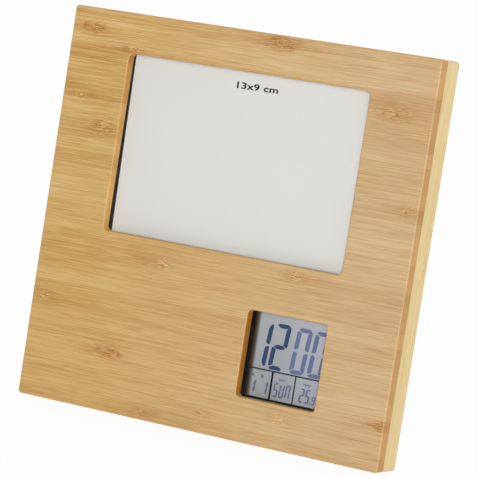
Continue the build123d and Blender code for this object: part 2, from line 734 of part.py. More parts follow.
pieces = {
    "front_ply": front_ply(),
    "rear_ply": rear_ply(),
    "photo_glazing": photo_sheet(glazing_front, glazing_front + glazing_thickness),
    "photo_card": photo_card(),
    "card_backer": photo_sheet(card_backer_front, card_backer_front + card_backer_thickness),
    "corrugated_filler": photo_sheet(filler_front, backing_board_front - seat_clearance),
    "backing_board": backing_board(),
    "turn_button_screws": screws(turn_button_places.values(), turn_screw_seat, turn_screw_head_radius,
                                 turn_screw_head_height, turn_screw_radius, turn_screw_length),
    "hinge_leaf_fixed": hinge_leaf_fixed(),
    "hinge_pin": hinge_pin(),
    "fixed_leaf_rivets": Part() + [rivet(x, z, backing_board_front + rivet_head_height, fixed_leaf_back)
                                   for x, z in fixed_rivet_places],
    "hinge_leaf_moving": hinge_leaf_moving(),
    "leg_rivets": Part() + [opened * rivet(x, z, moving_leaf_front, leg_back) for x, z in leg_rivet_places],
    "stand_leg": stand_leg(),
    "clock_case_front": clock_case_front(),
    "display_lens": carry_back(lens_outline(0), lens_front, lens_front + lens_thickness, clock_x, clock_z),
    "lcd_panel": lcd_panel(),
    "lcd_reflector": lcd_reflector(),
    "zebra_strip": zebra_strip(),
    "lcd_foam": lcd_foam(),
    "circuit_board": circuit_board(),
    "key_switches": key_switches(),
    "clock_chip": clock_chip(),
    "quartz_crystal": quartz_crystal(),
    "thermistor": thermistor(),
    "small_components": small_components(),
    "buzzer_disc": buzzer_disc(),
    "buzzer_wires": buzzer_wires(),
    "button_cell": button_cell(),
    "battery_contact_negative": battery_contact_negative(),
    "battery_contact_positive": battery_contact_positive(),
    "clock_case_back": clock_case_back(),
    "battery_door": battery_door(),
    "case_screws": screws(boss_places, case_screw_seat + seat_clearance, case_screw_head_radius,
                          case_screw_head_height, case_screw_radius, case_screw_length),
    "module_screws": screws(ear_places, cover_front + ear_thickness + seat_clearance,
                            module_screw_head_radius, module_screw_head_height, module_screw_radius,
                            module_screw_length),
}
pieces.update({name: turn_button(*place) for name, place in turn_button_places.items()})
pieces.update({name: push_button(*place) for name, place in button_places.items()})

# The origin lies on the table, under the middle of the whole
leaned = {name: standing * shape for name, shape in pieces.items()}
boxes = [shape.bounding_box() for shape in leaned.values()]
middle_y = (min(box.min.Y for box in boxes) + max(box.max.Y for box in boxes)) / 2
os.makedirs("parts", exist_ok=True)
for name, shape in leaned.items():
    export_step(Pos(0, -middle_y, 0) * shape, f"parts/{name}.step")
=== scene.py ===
# The looks, light and camera of a leaning bamboo photo frame with a small digital clock in it
import bmesh
import bpy
import json
from functools import partialmethod
from bpy.props import FloatProperty, FloatVectorProperty, PointerProperty, StringProperty
from math import atan2, cos, pi, radians, sin, tan
from mathutils import Matrix, Quaternion, Vector


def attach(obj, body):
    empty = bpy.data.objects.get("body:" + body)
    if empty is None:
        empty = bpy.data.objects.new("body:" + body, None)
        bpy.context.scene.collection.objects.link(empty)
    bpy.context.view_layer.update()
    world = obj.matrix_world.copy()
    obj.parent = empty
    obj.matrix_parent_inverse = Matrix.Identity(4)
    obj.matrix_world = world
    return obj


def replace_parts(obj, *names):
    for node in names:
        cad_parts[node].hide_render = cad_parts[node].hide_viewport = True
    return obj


bl_info = {
    "name": "Photo Frame Clock",
    "version": (1, 0, 0),
    "blender": (4, 5, 0),
    "location": "3D View > Sidebar > Frame Clock",
    "description": "Builds the looks of a bamboo photo frame clock around its packed solids",
    "category": "Object",
}

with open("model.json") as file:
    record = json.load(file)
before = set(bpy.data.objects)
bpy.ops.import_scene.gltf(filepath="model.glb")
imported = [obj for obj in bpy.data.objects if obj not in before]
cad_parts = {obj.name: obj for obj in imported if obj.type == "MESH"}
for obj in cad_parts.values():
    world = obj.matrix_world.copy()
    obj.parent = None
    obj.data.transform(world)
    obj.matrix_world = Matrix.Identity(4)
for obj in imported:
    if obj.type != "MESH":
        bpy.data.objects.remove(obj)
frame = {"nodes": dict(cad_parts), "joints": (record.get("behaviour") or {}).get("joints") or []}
CAD = frame["nodes"]
JOINTS = {joint["name"]: joint for joint in frame["joints"]}
MM = 0.001
# Edges of a screw or rivet that turn by more than this stay sharp
SHARP = radians(35)
# The height of the font's capitals as a share of its size
CAPITALS = 0.72

# The leaning frame's own directions, read from the axis that a turn button swivels on
RIGHT = Vector((1, 0, 0))
BACK = Vector(JOINTS["turn_upper_left_swivel"]["axis"]).normalized()
UP = RIGHT.cross(BACK)
LEAN = atan2(-BACK.z, BACK.y)
# How far the leg stands out from the frame's back
SWING = radians(abs(JOINTS["leg_fold"]["range_deg"][0]))
# The push buttons at the rear, each with its name moulded above it
BUTTONS = ("mode_button", "set_button", "up_button", "down_button")


def least_reach(name, axis):
    """The lowest that a node reaches along an axis, in metres."""
    return min(vertex.co.dot(axis) for vertex in CAD[name].data.vertices)


# The carry to the leaning frame from an upright one with its face at depth zero and its foot at height zero
STANDING = Matrix((RIGHT, BACK, UP)).transposed().to_4x4()
STANDING.translation = least_reach("front_ply", BACK) * BACK + least_reach("front_ply", UP) * UP
UPRIGHT = STANDING.inverted()


def corners(points):
    """The lowest and highest corners of the box round some points."""
    return [Vector(pick(point[axis] for point in points) for axis in range(3)) for pick in (min, max)]


def upright_box(name):
    """A node's lowest and highest corners as if the frame stood upright, in metres."""
    return corners([UPRIGHT @ vertex.co for vertex in CAD[name].data.vertices])


def box_in_millimetres(name):
    return (corner / MM for corner in upright_box(name))


def tint(red, green, blue, alpha=1.0):
    """A screen colour, 0 to 255, as the linear colour that Blender works in."""
    shares = [value / 255 for value in (red, green, blue)]
    linear = [share / 12.92 if share <= 0.04045 else ((share + 0.055) / 1.055) ** 2.4 for share in shares]
    return (*linear, alpha)


# Bamboo joints: how far along and across the strips, how brown, how pale in the middle, how far the brown
# reaches to either side, and half their height. Lengths are in millimetres.
FACE_JOINTS = (
    (15.3, 181.2, 1.30, 0.7, 9.0, 9.0, 3.0), (-81.5, 175.7, 1.05, 0.4, 12.0, 5.0, 2.6),
    (-59.0, 168.0, 0.80, 0.8, 13.0, 5.0, 2.2), (-85.0, 143.6, 0.50, 1.0, 5.0, 8.0, 3.4),
    (-71.4, 130.0, 0.75, 0.9, 10.0, 8.0, 3.8), (40.5, 79.0, 0.60, 1.2, 6.0, 5.0, 2.8),
    (-27.6, 72.9, 0.60, 1.5, 15.0, 3.5, 2.8), (-88.0, 47.9, 0.50, 0.9, 5.0, 8.0, 3.0),
    (-47.0, 27.6, 1.30, 0.2, 10.0, 3.5, 2.6), (43.5, 14.0, 0.30, 1.4, 6.0, 5.0, 2.6),
    (-28.0, 3.2, 0.60, 0.8, 6.0, 8.0, 2.6), (4.0, 8.8, 0.50, 0.6, 9.0, 5.0, 2.4),
    (76.0, 158.5, 0.70, 0.3, 12.0, 10.0, 4.8), (90.0, 116.4, 0.60, 0.7, 7.0, 5.0, 3.0),
    (93.5, 20.7, 1.20, 0.1, 7.0, 4.0, 2.2))
REAR_JOINTS = (
    (30.0, -82.0, 0.8, 0.9, 9.0, 4.0, 6.0), (118.0, -88.5, 0.7, 0.8, 9.0, 4.0, 5.0),
    (92.0, 84.0, 0.8, 0.9, 9.0, 4.0, 6.0), (12.0, 3.0, 0.8, 0.9, 9.0, 4.0, 6.0),
    (160.0, 77.0, 0.7, 0.8, 9.0, 4.0, 6.0), (58.0, -38.0, 0.8, 0.8, 9.0, 4.0, 6.0),
    (176.0, -20.0, 0.7, 0.8, 9.0, 4.0, 6.0))
LEG_JOINTS = (
    (70.0, 4.0, 0.9, 0.9, 9.0, 4.0, 6.0), (25.0, -9.0, 0.8, 0.9, 8.0, 4.0, 5.0),
    (112.0, -3.0, 0.6, 0.8, 8.0, 4.0, 6.0))
# How strongly the fibres bend round a joint
BEND = -0.40

# Sizes of the bamboo's grain in millimetres: along the fibres, across the strips and through the board
FIBRE = (18.0, 0.38, 0.38)
STREAK = (60.0, 1.0, 1.0)
VEIN = (20.0, 0.34, 0.34)
GLEAM = (26.0, 0.50, 0.50)
CLOUD = (60.0, 10.0, 10.0)
DRIFT = (70.0, 9.0, 9.0)
SPECK = (1.0, 0.75, 0.75)


def Colour(name, description, *shown):
    """A colour that a user can change. Its default is given as a screen colour, 0 to 255."""
    return FloatVectorProperty(name=name, description=description, default=tint(*shown), size=4,
                               subtype="COLOR")


def Length(name, description, default):
    """A length that a user can change. Its default is given in millimetres."""
    return FloatProperty(name=name, description=description, default=default * MM, unit="LENGTH")


def Angle(name, description, default):
    """An angle that a user can change. Its default is given in degrees."""
    return FloatProperty(name=name, description=description, default=radians(default), subtype="ANGLE")


def Power(name, description, default):
    """A lamp's power in watts."""
    return FloatProperty(name=name, description=description, default=default, unit="POWER")


class BambooLook(bpy.types.PropertyGroup):
    """The finish of the two bamboo boards and of the stand leg"""
    strip_height: Length("Strip height", "Height of one bamboo strip on the face", 6.2)
    rear_strip_width: Length("Rear strip width", "Width of a strip of the rear board", 20.5)
    deep_tone: Colour("Deep tone", "Darkest fibres at the left of the face", 172, 124, 56)
    warm_tone: Colour("Warm tone", "Usual fibres at the left of the face", 203, 164, 100)
    pale_tone: Colour("Pale tone", "Palest fibres at the left of the face", 224, 194, 138)
    sandy_deep_tone: Colour("Sandy deep tone", "Darkest fibres at the right", 174, 133, 88)
    sandy_warm_tone: Colour("Sandy warm tone", "Usual fibres at the right", 201, 168, 122)
    sandy_pale_tone: Colour("Sandy pale tone", "Palest fibres at the right", 222, 198, 158)
    joint_tone: Colour("Joint tone", "Brown of the flare beside a joint", 160, 94, 20)
    core_tone: Colour("Core tone", "Pale middle of a joint", 232, 205, 146)
    end_tone: Colour("End tone", "Usual colour of cut fibre ends", 211, 165, 94)
    # Painted shade: an orange darkening on the rounded upper and lower rims
    painted_rim_shade_tone: Colour("Painted rim shade", "Orange of the rounded upper and lower rims", 216, 164, 80)
    # Painted shade: a darker tone for the cut walls round the clock and high up in the windows
    painted_wall_shade_tone: Colour("Painted wall shade", "The cut walls round the clock", 184, 124, 46)
    side_tone: Colour("Side tone", "Cut fibre ends at the frame's sides", 188, 143, 84)
    edge_deep_tone: Colour("Edge deep tone", "Darkest fibres of the rear board", 196, 165, 106)
    edge_tone: Colour("Edge tone", "Usual fibres of the rear board", 219, 194, 138)
    edge_pale_tone: Colour("Edge pale tone", "Palest fibres of the rear board", 233, 213, 166)


class DisplayLook(bpy.types.PropertyGroup):
    """The figures that the clock shows and the colours of its display"""
    figure_height: Length("Figure height", "Height of the large figures", 21.3)
    figure_width: Length("Figure width", "Width of the large figures", 7.65)
    stroke: Length("Stroke", "Width of a stroke of the large figures", 2.2)
    slant: Angle("Slant", "How far the figures lean", 4.9)
    hours: StringProperty(name="Hours", description="The two figures of the hour", default="12")
    minutes: StringProperty(name="Minutes", description="The two figures of the minutes", default="00")
    ground: Colour("Ground", "Colour of the empty display at the left", 166, 170, 175)
    far_ground: Colour("Far ground", "Colour of the empty display at the right", 174, 178, 187)
    dark_ink: Colour("Dark ink", "Colour of the hour's strokes", 48, 70, 106)
    # The minutes' strokes are the hour's ink painted paler, a painted view-angle fade of the same ink
    pale_ink: Colour("Pale ink", "Colour of the minutes' strokes", 102, 116, 152)
    small_ink: Colour("Small ink", "Colour of the small figures", 100, 106, 134)
    line_ink: Colour("Line ink", "Colour of the lines between the fields", 10, 10, 14)


class CardLook(bpy.types.PropertyGroup):
    """The insert card behind the glazing"""
    words: StringProperty(name="Size mark", description="The size that the card is printed with",
                          default="13x9 cm")
    letter_height: Length("Letter height", "Height of the size mark's capitals", 3.0)
    paper: Colour("Paper", "Colour of the card", 224, 224, 221)


class StageLook(bpy.types.PropertyGroup):
    """The camera's place and the light"""
    turn: Angle("Turn", "How far right of the front the camera stands", 29.36)
    rise: Angle("Rise", "How high above level the camera stands", 19.43)
    roll: Angle("Roll", "How far the camera is turned about its own line of sight", -0.144)
    distance: Length("Distance", "From the camera to what it looks at", 1295.0)
    lens: FloatProperty(name="Lens", description="Focal length in millimetres on a 36 mm sensor",
                        default=214.53)
    key_power: Power("Key light", "Power of the lamp beside the camera", 27.5)
    side_power: Power("Side light", "Power of the lamp at the right of the frame", 12.5)
    rear_power: Power("Rear light", "Power of the lamp behind the frame", 12.0)
    room_light: FloatProperty(name="Room light", description="Strength of the light from all round",
                              default=0.20)


class ClockLook(bpy.types.PropertyGroup):
    """Everything that a user would change"""
    bamboo: PointerProperty(type=BambooLook)
    display: PointerProperty(type=DisplayLook)
    card: PointerProperty(type=CardLook)
    stage: PointerProperty(type=StageLook)


class Value:
    """What one output of a node gives. Its sums, products and the like are further nodes."""

    def __init__(self, recipe, socket):
        self.recipe = recipe
        self.socket = socket

    def math(self, operation, *others):
        return self.recipe.math(operation, self, *others)

    __add__ = partialmethod(math, "ADD")
    __sub__ = partialmethod(math, "SUBTRACT")
    __mul__ = partialmethod(math, "MULTIPLY")
    __truediv__ = partialmethod(math, "DIVIDE")
    __abs__ = partialmethod(math, "ABSOLUTE")
    at_most = partialmethod(math, "MINIMUM")
    at_least = partialmethod(math, "MAXIMUM")
    exponent = partialmethod(math, "EXPONENT")

    def spread(self, amount):
        """A noise between 0 and 1 as a swing about nothing."""
        return (self - 0.5) * amount

    def bell(self, width):
        """1 where the value is nothing, falling off smoothly over the width."""
        share = self / width
        return (share * share * -1.0).exponent()

    def ease(self, low, high, at_low=0.0, at_high=1.0):
        """Turns smoothly from one result to another as the value goes from low to high."""
        inputs = {"Value": self, "From Min": low, "From Max": high, "To Min": at_low, "To Max": at_high}
        return self.recipe.out("ShaderNodeMapRange", inputs, "Result", interpolation_type="SMOOTHSTEP")


class Recipe:
    """A node tree, filled in from its coordinates to its last node."""

    def __init__(self, tree):
        self.tree = tree

    def add(self, kind, inputs=None, **settings):
        """A new node with its settings. Its inputs, by name or number, are set or fed by values."""
        node = self.tree.nodes.new(kind)
        for setting, value in settings.items():
            setattr(node, setting, value)
        for name, value in (inputs or {}).items():
            if isinstance(value, Value):
                self.tree.links.new(value.socket, node.inputs[name])
            else:
                node.inputs[name].default_value = value
        return node

    def out(self, kind, inputs=None, output=0, **settings):
        """The value that one output of a new node gives."""
        return Value(self, self.add(kind, inputs, **settings).outputs[output])

    def outs(self, kind, inputs=None, **settings):
        """The values that all the outputs of a new node give."""
        return [Value(self, output) for output in self.add(kind, inputs, **settings).outputs]

    def given(self, kinds):
        """Names the tree's own inputs with their kinds, and returns their values."""
        for name, kind in kinds.items():
            self.tree.interface.new_socket(name, in_out="INPUT", socket_type=f"NodeSocket{kind}")
        outputs = self.add("NodeGroupInput").outputs
        return [Value(self, outputs[name]) for name in kinds]

    def give(self, kind, results):
        """Names the tree's own outputs, all of one kind, and feeds them."""
        for name in results:
            self.tree.interface.new_socket(name, in_out="OUTPUT", socket_type=f"NodeSocket{kind}")
        self.add("NodeGroupOutput", results)

    def math(self, operation, *inputs):
        return self.out("ShaderNodeMath", dict(enumerate(inputs)), operation=operation)

    def mix(self, share, first, second, blend="MIX"):
        """A share of the way from the first colour to the second."""
        inputs = {0: share, 6: first, 7: second}
        return self.out("ShaderNodeMix", inputs, 2, data_type="RGBA", blend_type=blend)

    def shaded(self, colour, shade):
        """A colour times a grey."""
        return self.mix(1.0, colour, self.out("ShaderNodeCombineColor", {0: shade, 1: shade, 2: shade}),
                        "MULTIPLY")

    def stretched(self, axes, sizes, shift=0.0):
        """A vector of three coordinates, each divided by its size, with a shift along the first."""
        first, second, third = (axis / size for axis, size in zip(axes, sizes))
        return self.out("ShaderNodeCombineXYZ", {0: first + shift, 1: second, 2: third})

    def noise(self, vector, scale=1.0, detail=2.0, roughness=0.55):
        inputs = {"Vector": vector, "Scale": scale, "Detail": detail, "Roughness": roughness}
        return self.out("ShaderNodeTexNoise", inputs, "Fac")

    def grain(self, axes, sizes, shift=0.0, **settings):
        """Noise with grains of given sizes along three coordinates."""
        return self.noise(self.stretched(axes, sizes, shift), **settings)

    def ramp(self, value, *stops):
        """A colour from a row of places and colours."""
        node = self.add("ShaderNodeValToRGB", {"Fac": value})
        row = node.color_ramp.elements
        while len(row) < len(stops):
            row.new(0.5)
        for element, (place, colour) in zip(row, stops):
            element.position = place
            element.color = colour
        return Value(self, node.outputs["Color"])

    def rays(self, *kinds):
        """1 for a ray of any of these kinds."""
        outputs = self.add("ShaderNodeLightPath").outputs
        first, *others = (Value(self, outputs[f"Is {kind} Ray"]) for kind in kinds)
        for other in others:
            first = first.at_least(other)
        return first

    def surface(self, colour, roughness, relief=None, depth=0.0, strength=0.5, **others):
        """A Principled shader, with relief of a depth in millimetres.

        An underscore in another input's name stands for a space."""
        inputs = {name.replace("_", " "): value for name, value in others.items()}
        inputs.update({"Base Color": colour, "Roughness": roughness})
        if relief is not None:
            height = {"Height": relief, "Distance": depth * MM, "Strength": strength}
            inputs["Normal"] = self.out("ShaderNodeBump", height, "Normal")
        return self.out("ShaderNodeBsdfPrincipled", inputs)

    def either(self, share, first, second):
        """A share of the way from the first shader to the second."""
        return self.out("ShaderNodeMixShader", {0: share, 1: first, 2: second})


class Finish(Recipe):
    """The recipe of a new material. Its places run right, backward and up the frame, in millimetres."""

    def __init__(self, name, lean=LEAN):
        self.material = bpy.data.materials.new(name)
        self.material.use_nodes = True
        super().__init__(self.material.node_tree)
        self.tree.nodes.clear()
        origin = Matrix.Rotation(lean, 3, "X") @ STANDING.translation / MM
        self.object_place = self.out("ShaderNodeTexCoord", output="Object")
        turned = self.out("ShaderNodeMapping", {"Vector": self.object_place, "Location": -origin,
                                                "Rotation": (lean, 0, 0), "Scale": (1 / MM, 1 / MM, 1 / MM)})
        self.places = self.outs("ShaderNodeSeparateXYZ", {0: turned})

    def felt(self, size, **settings):
        """Noise with grains of one size, or of one size for each direction."""
        sizes = size if isinstance(size, tuple) else (size, size, size)
        return self.grain(self.places, sizes, **settings)

    def finished(self, shader):
        """The material, once its surface has its shader."""
        self.add("ShaderNodeOutputMaterial", {"Surface": shader})
        return self.material

    def coated(self, *coat, **others):
        """The material, with a Principled surface."""
        return self.finished(self.surface(*coat, **others))


def joint_group():
    """A group for one bamboo joint: a pale mottled middle, a broken dark line, and brown lines round it."""
    recipe = Recipe(bpy.data.node_groups.new("Bamboo joint", "ShaderNodeTree"))
    names = ("Along", "Across", "Deep", "Place along", "Place across", "Brown", "Core", "Left", "Right",
             "Half height")
    values = recipe.given(dict.fromkeys(names, "Float"))
    along, across, deep, place_along, place_across, brown, core, left, right, half_height = values
    off_along = along - place_along
    off_across = across - place_across
    ragged = recipe.grain((along, across, deep), (2.2, 1.1, 1.1), detail=3.0, roughness=0.6) - 0.5
    rise = off_across / half_height + ragged * 0.8
    bend = off_across * (off_along.bell(6.0) * rise.bell(1.3))
    curved = (along, bend * BEND + across, deep)
    mottle = recipe.grain(curved, (1.5, 0.55, 0.55), shift=7.0)
    pale = (off_along + ragged * 3.5).bell(2.6) * rise.bell(0.85) * mottle.ease(0.44, 0.62) * core
    crack = (off_along + 0.9 + ragged * 2.4).bell(0.40) * rise.bell(0.75) * mottle.ease(0.60, 0.42)
    leftward = (off_along.at_most(0.0) / left).exponent()
    rightward = (off_along.at_least(0.0) / right * -1.0).exponent()
    lines = recipe.grain(curved, (4.5, 0.36, 0.36), shift=3.0, roughness=0.6)
    flare = leftward * rightward * rise.bell(0.95) * lines.ease(0.42, 0.58, 0.14, 1.0)
    dark = (crack * 0.5 + flare * 1.75) * brown
    recipe.give("Float", {"Pale share": pale, "Brown share": dark, "Bend": bend})
    return recipe.tree


class Bamboo(Finish):
    """The recipe of bamboo strips with long fibres, glue lines, joints and speckled cut ends."""

    def __init__(self, name, axes, lean, strip):
        """axes names the coordinates that run along the fibres, across the strips and through the board."""
        super().__init__(name, lean)
        self.look = bpy.context.scene.clock_look.bamboo
        numbers = ["XYZ".index(axis) for axis in axes]
        self.lines = [self.places[number] for number in numbers]
        self.band = self.lines[1] / (strip / MM)
        chance = self.out("ShaderNodeTexWhiteNoise", {"W": self.band.math("FLOOR")}, "Color",
                          noise_dimensions="1D")
        self.chances = self.outs("ShaderNodeSeparateColor", {0: chance})
        facing = self.out("ShaderNodeTexCoord", output="Normal")
        facing = self.out("ShaderNodeMapping", {"Vector": facing, "Rotation": (lean, 0, 0)},
                          vector_type="VECTOR")
        facing = self.outs("ShaderNodeSeparateXYZ", {0: facing})
        self.ending, self.level = (abs(facing[number]) for number in numbers[:2])

    def set_joints(self, joints, group):
        """Adds up what the joints do, and bends the fibres round them."""
        sums = [0.0, 0.0, 0.0]
        for joint in joints:
            marks = self.outs("ShaderNodeGroup", dict(enumerate((*self.lines, *joint))), node_tree=group)
            sums = [mark + known for mark, known in zip(marks, sums)]
        self.pale, self.brown, bend = sums
        along, across, deep = self.lines
        across = along * self.chances[0].spread(0.014) + across
        across = bend * BEND + across
        across = self.grain((along, across, deep), DRIFT, detail=1.0) * 0.4 + across
        self.lines = (along, across, deep)

    def fibres(self, golden, sandy):
        """The colour of the fibres: golden tones at the left and sandy ones at the right, deep to pale."""
        shift = self.chances[0] * 60.0
        self.fibre = self.grain(self.lines, FIBRE, shift, roughness=0.65)
        streak = self.grain(self.lines, STREAK, shift)
        vein = self.grain(self.lines, VEIN, shift + 9.0, detail=1.0)
        gleam = self.grain(self.lines, GLEAM, shift + 21.0, detail=1.0)
        cloud = self.grain(self.lines, CLOUD, detail=1.0)
        tone = self.fibre.spread(0.90) + streak.spread(0.60)
        tone = tone + self.chances[1].spread(0.20) + cloud.spread(0.30)
        # The upper left corner of the face is more strongly figured
        figured = self.places[0].ease(-40.0, -78.0) * self.places[2].ease(95.0, 140.0)
        tone = tone * (figured * 0.50 + 1.0) + 0.5
        golden, sandy = (self.ramp(tone, *zip((0.05, 0.5, 0.95), tones)) for tones in (golden, sandy))
        colour = self.mix(self.places[0].ease(-85.0, 75.0), golden, sandy)
        colour = self.mix(vein.ease(0.58, 0.74, 0.0, 0.42), colour, self.look.joint_tone)
        return self.mix(gleam.ease(0.58, 0.76, 0.0, 0.45), colour, self.look.core_tone)

    def marked(self, colour):
        """A colour with the glue lines between the strips and the joints on it."""
        self.seam = (abs(self.band.math("FRACT") - 0.5) - 0.5).bell(0.03)
        colour = self.mix(self.seam * (self.chances[2] * 0.25), colour, self.look.joint_tone)
        colour = self.mix((self.brown * 0.80).at_most(0.80), colour, self.look.joint_tone)
        return self.mix((self.pale * 0.62).at_most(0.75), colour, self.look.core_tone)

    def within_sides(self):
        """1 on the front board but for the cut ends at its left and right sides."""
        side = upright_box("front_ply")[1].x / MM
        return abs(self.places[0]).ease(side - 7.0, side - 3.0, 1.0, 0.0)

    def rimmed(self, colour):
        """A colour with painted orange shade on the front board's upper and lower rims, and paler rims to its
        windows, partly cut fibre ends and partly a painted highlight.
        """
        # Painted shade: orange on the rounded upper and lower rims
        rim = self.level.ease(0.15, 0.45) * self.level.ease(0.98, 0.90)
        colour = self.mix(rim * 0.55, colour, self.look.painted_rim_shade_tone)
        # Paler window rims: partly the cut fibre ends of the rounded edge, partly a painted highlight
        rounded = self.ending.ease(0.08, 0.40) * self.ending.ease(0.55, 0.90, 1.0, 0.0)
        return self.mix(rounded * self.within_sides() * 0.40, colour, self.look.end_tone)

    def window_ends(self):
        """The tone of the front board's cut ends: painted shade round the clock, weaker painted shade high
        up, and a darker tone at the frame's sides.
        """
        low, high = box_in_millimetres("display_lens")
        # Painted shade on the cut walls round the clock
        nearby = (self.places[0].ease(low.x - 3.0, low.x - 2.0)
                  * self.places[2].ease(high.z + 3.0, high.z + 2.0))
        # Painted shade at half strength, growing higher up the window walls
        nearby = nearby.at_least(self.places[2].ease(125.0, 165.0, 0.0, 0.5))
        walls = self.mix(nearby, self.look.end_tone, self.look.painted_wall_shade_tone)
        return self.mix(self.within_sides(), self.look.side_tone, walls)

    def ended(self, colour, ends):
        """A colour with speckled blocks of another tone on the strips' cut ends."""
        speck = self.grain(self.lines, SPECK, detail=3.0, roughness=0.65)
        ends = self.shaded(ends, speck.spread(0.75) + (self.chances[1].spread(0.26) + 1.0))
        ends = self.mix((self.brown * 0.6).at_most(0.6), ends, self.look.joint_tone)
        return self.mix(self.ending.ease(0.60, 0.92), colour, ends)

    def oiled(self, colour):
        """The material, with a thin coat over the fibres' relief."""
        relief = self.fibre + self.seam * -0.5
        return self.coated(colour, self.fibre.spread(0.16) + 0.52, relief, 0.03, Specular_IOR_Level=0.3)


def paper(name, colour, speckle):
    """Card or paper: a felted grain and a faint unevenness of tone."""
    recipe = Finish(name)
    felt = recipe.felt(0.25, detail=4.0, roughness=0.7)
    shade = recipe.felt(30.0).spread(speckle) + (felt.spread(speckle * 2) + 1.0)
    return recipe.coated(recipe.shaded(colour, shade), 0.8, felt, 0.02)


def corrugated():
    """Brown corrugated card: flutes that run across its edge between flat liners."""
    recipe = Finish("corrugated_card")
    flute_pitch = 7.0
    flute = (recipe.places[0] * (2 * pi / flute_pitch)).math("SINE") * 0.5 + 0.5
    tone = flute * 0.25 + recipe.felt((0.9, 0.3, 0.5), detail=4.0) * 0.75
    colour = recipe.ramp(tone, (0.2, tint(140, 104, 68)), (0.55, tint(178, 140, 98)),
                         (0.9, tint(196, 160, 118)))
    return recipe.coated(colour, 0.85, tone, 0.2)


def hardboard():
    """The smooth face of pressed hardboard: brown felted fibres with darker flecks."""
    recipe = Finish("hardboard")
    hair = recipe.felt((2.4, 0.35, 0.35), detail=3.0)
    tone = recipe.felt(1.6, detail=5.0, roughness=0.68) + hair.spread(0.5) + recipe.felt(28.0).spread(0.4)
    colour = recipe.ramp(tone, (0.22, tint(78, 52, 34)), (0.5, tint(112, 78, 51)), (0.8, tint(142, 104, 72)))
    flecks = recipe.felt(0.6, detail=1.0).ease(0.66, 0.74)
    colour = recipe.mix(flecks * 0.5, colour, tint(58, 38, 25))
    return recipe.coated(colour, 0.48, tone, 0.05)


def clear_sheet():
    """Clear plastic that lets the lamps through and reflects little, with a faintly uneven polish."""
    recipe = Finish("clear_sheet")
    rough = recipe.felt(18.0).ease(0.3, 0.8, 0.03, 0.07)
    solid = recipe.surface((1.0, 1.0, 1.0, 1.0), rough, IOR=1.15, Transmission_Weight=1.0)
    through = recipe.out("ShaderNodeBsdfTransparent", {"Color": tint(252, 252, 252)})
    return recipe.finished(recipe.either(recipe.rays("Shadow", "Diffuse"), solid, through))


def moulded(name, colour, roughness, grain=0.35, depth=0.03, gloss=0.5):
    """Moulded plastic with a fine spark-eroded grain."""
    recipe = Finish(name)
    pits = recipe.felt(grain, detail=3.0, roughness=0.6)
    rough = recipe.felt(9.0, detail=3.0).spread(0.14) + roughness
    tone = recipe.shaded(colour, pits.ease(0.3, 0.7, 0.9, 1.12))
    return recipe.coated(tone, rough, pits, depth, 0.6, Specular_IOR_Level=gloss)


def metal(name, colour, roughness, stretch):
    """Metal with fine lines of drawing or plating along one direction."""
    recipe = Finish(name)
    lines = recipe.felt(stretch, detail=4.0, roughness=0.7)
    stain = recipe.felt(5.0, detail=3.0).ease(0.35, 0.75, 0.0, 0.3)
    tone = recipe.mix(stain, colour, tint(150, 148, 140))
    return recipe.coated(tone, lines.spread(0.25) + roughness, lines, 0.008, Metallic=1.0)


def circuit_finish():
    """Green solder mask with paler traces under it."""
    recipe = Finish("board_green")
    cells = {"Vector": recipe.stretched(recipe.places, (2.4, 2.4, 2.4)), "Scale": 1.0, "Randomness": 0.35}
    trace = recipe.out("ShaderNodeTexVoronoi", cells, "Distance", feature="DISTANCE_TO_EDGE",
                       distance="CHEBYCHEV").ease(0.05, 0.13, 1.0, 0.0)
    colour = recipe.mix(trace, tint(20, 82, 48), tint(52, 124, 78))
    colour = recipe.mix(recipe.felt(0.4) * 0.2, colour, tint(12, 52, 30))
    return recipe.coated(colour, 0.35, trace, 0.03, 0.7)


def display_ground():
    """The empty display: grey glass, paler to the right, with a painted shadow of the case along its left
    edge and painted shade toward the bottom.
    """
    look = bpy.context.scene.clock_look.display
    recipe = Finish("display_ground")
    right, _, up = recipe.places
    low, high = box_in_millimetres("lcd_panel")
    mottle = recipe.felt(0.25)
    # Painted shade: darker toward the bottom and lighter toward the top, over a faint mottle
    shade = mottle.spread(0.05) + (up.ease(low.z, high.z, -0.08, 0.06) + 1.0)
    ground = recipe.mix(right.ease(low.x + 18.0, high.x - 12.0), look.ground, look.far_ground)
    # Painted shadow of the case along the left edge: near black at the edge, then brown
    dark = recipe.ramp(right.ease(low.x + 1.5, low.x + 5.0), (0.0, tint(16, 10, 6)), (1.0, tint(86, 74, 64)))
    # The ground shows fully only clear of the painted shadow
    lit = right.ease(low.x + 3.0, low.x + 5.5)
    colour = recipe.mix(lit * lit, dark, recipe.shaded(ground, shade))
    return recipe.coated(colour, 0.5, mottle, 0.01, 0.3, Specular_IOR_Level=0.05)


def ink(name, colour):
    """Dark strokes of a display or a print, slightly uneven in strength."""
    recipe = Finish(name)
    shade = recipe.felt(0.9, detail=3.0).spread(0.24) + 1.0
    return recipe.coated(recipe.shaded(colour, shade), 0.5, Specular_IOR_Level=0.05)


def put_on(material, *names):
    """Gives CAD nodes a finish."""
    for name in names:
        slots = CAD[name].data.materials
        slots.clear()
        slots.append(material)


def linked(name, data):
    """A new object in the scene."""
    made = bpy.data.objects.new(name, data)
    bpy.context.scene.collection.objects.link(made)
    return made


def new_piece(name, mesh, material, body):
    """A finished piece, already in its place, that rides on a body."""
    piece = linked(name, mesh)
    mesh.materials.clear()
    mesh.materials.append(material)
    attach(piece, body)
    return piece


def carried_out(holder):
    """The plain mesh of an object's curve or modifiers, in place of the object."""
    bpy.context.view_layer.update()
    mesh = bpy.data.meshes.new_from_object(holder.evaluated_get(bpy.context.evaluated_depsgraph_get()))
    bpy.data.objects.remove(holder)
    return mesh


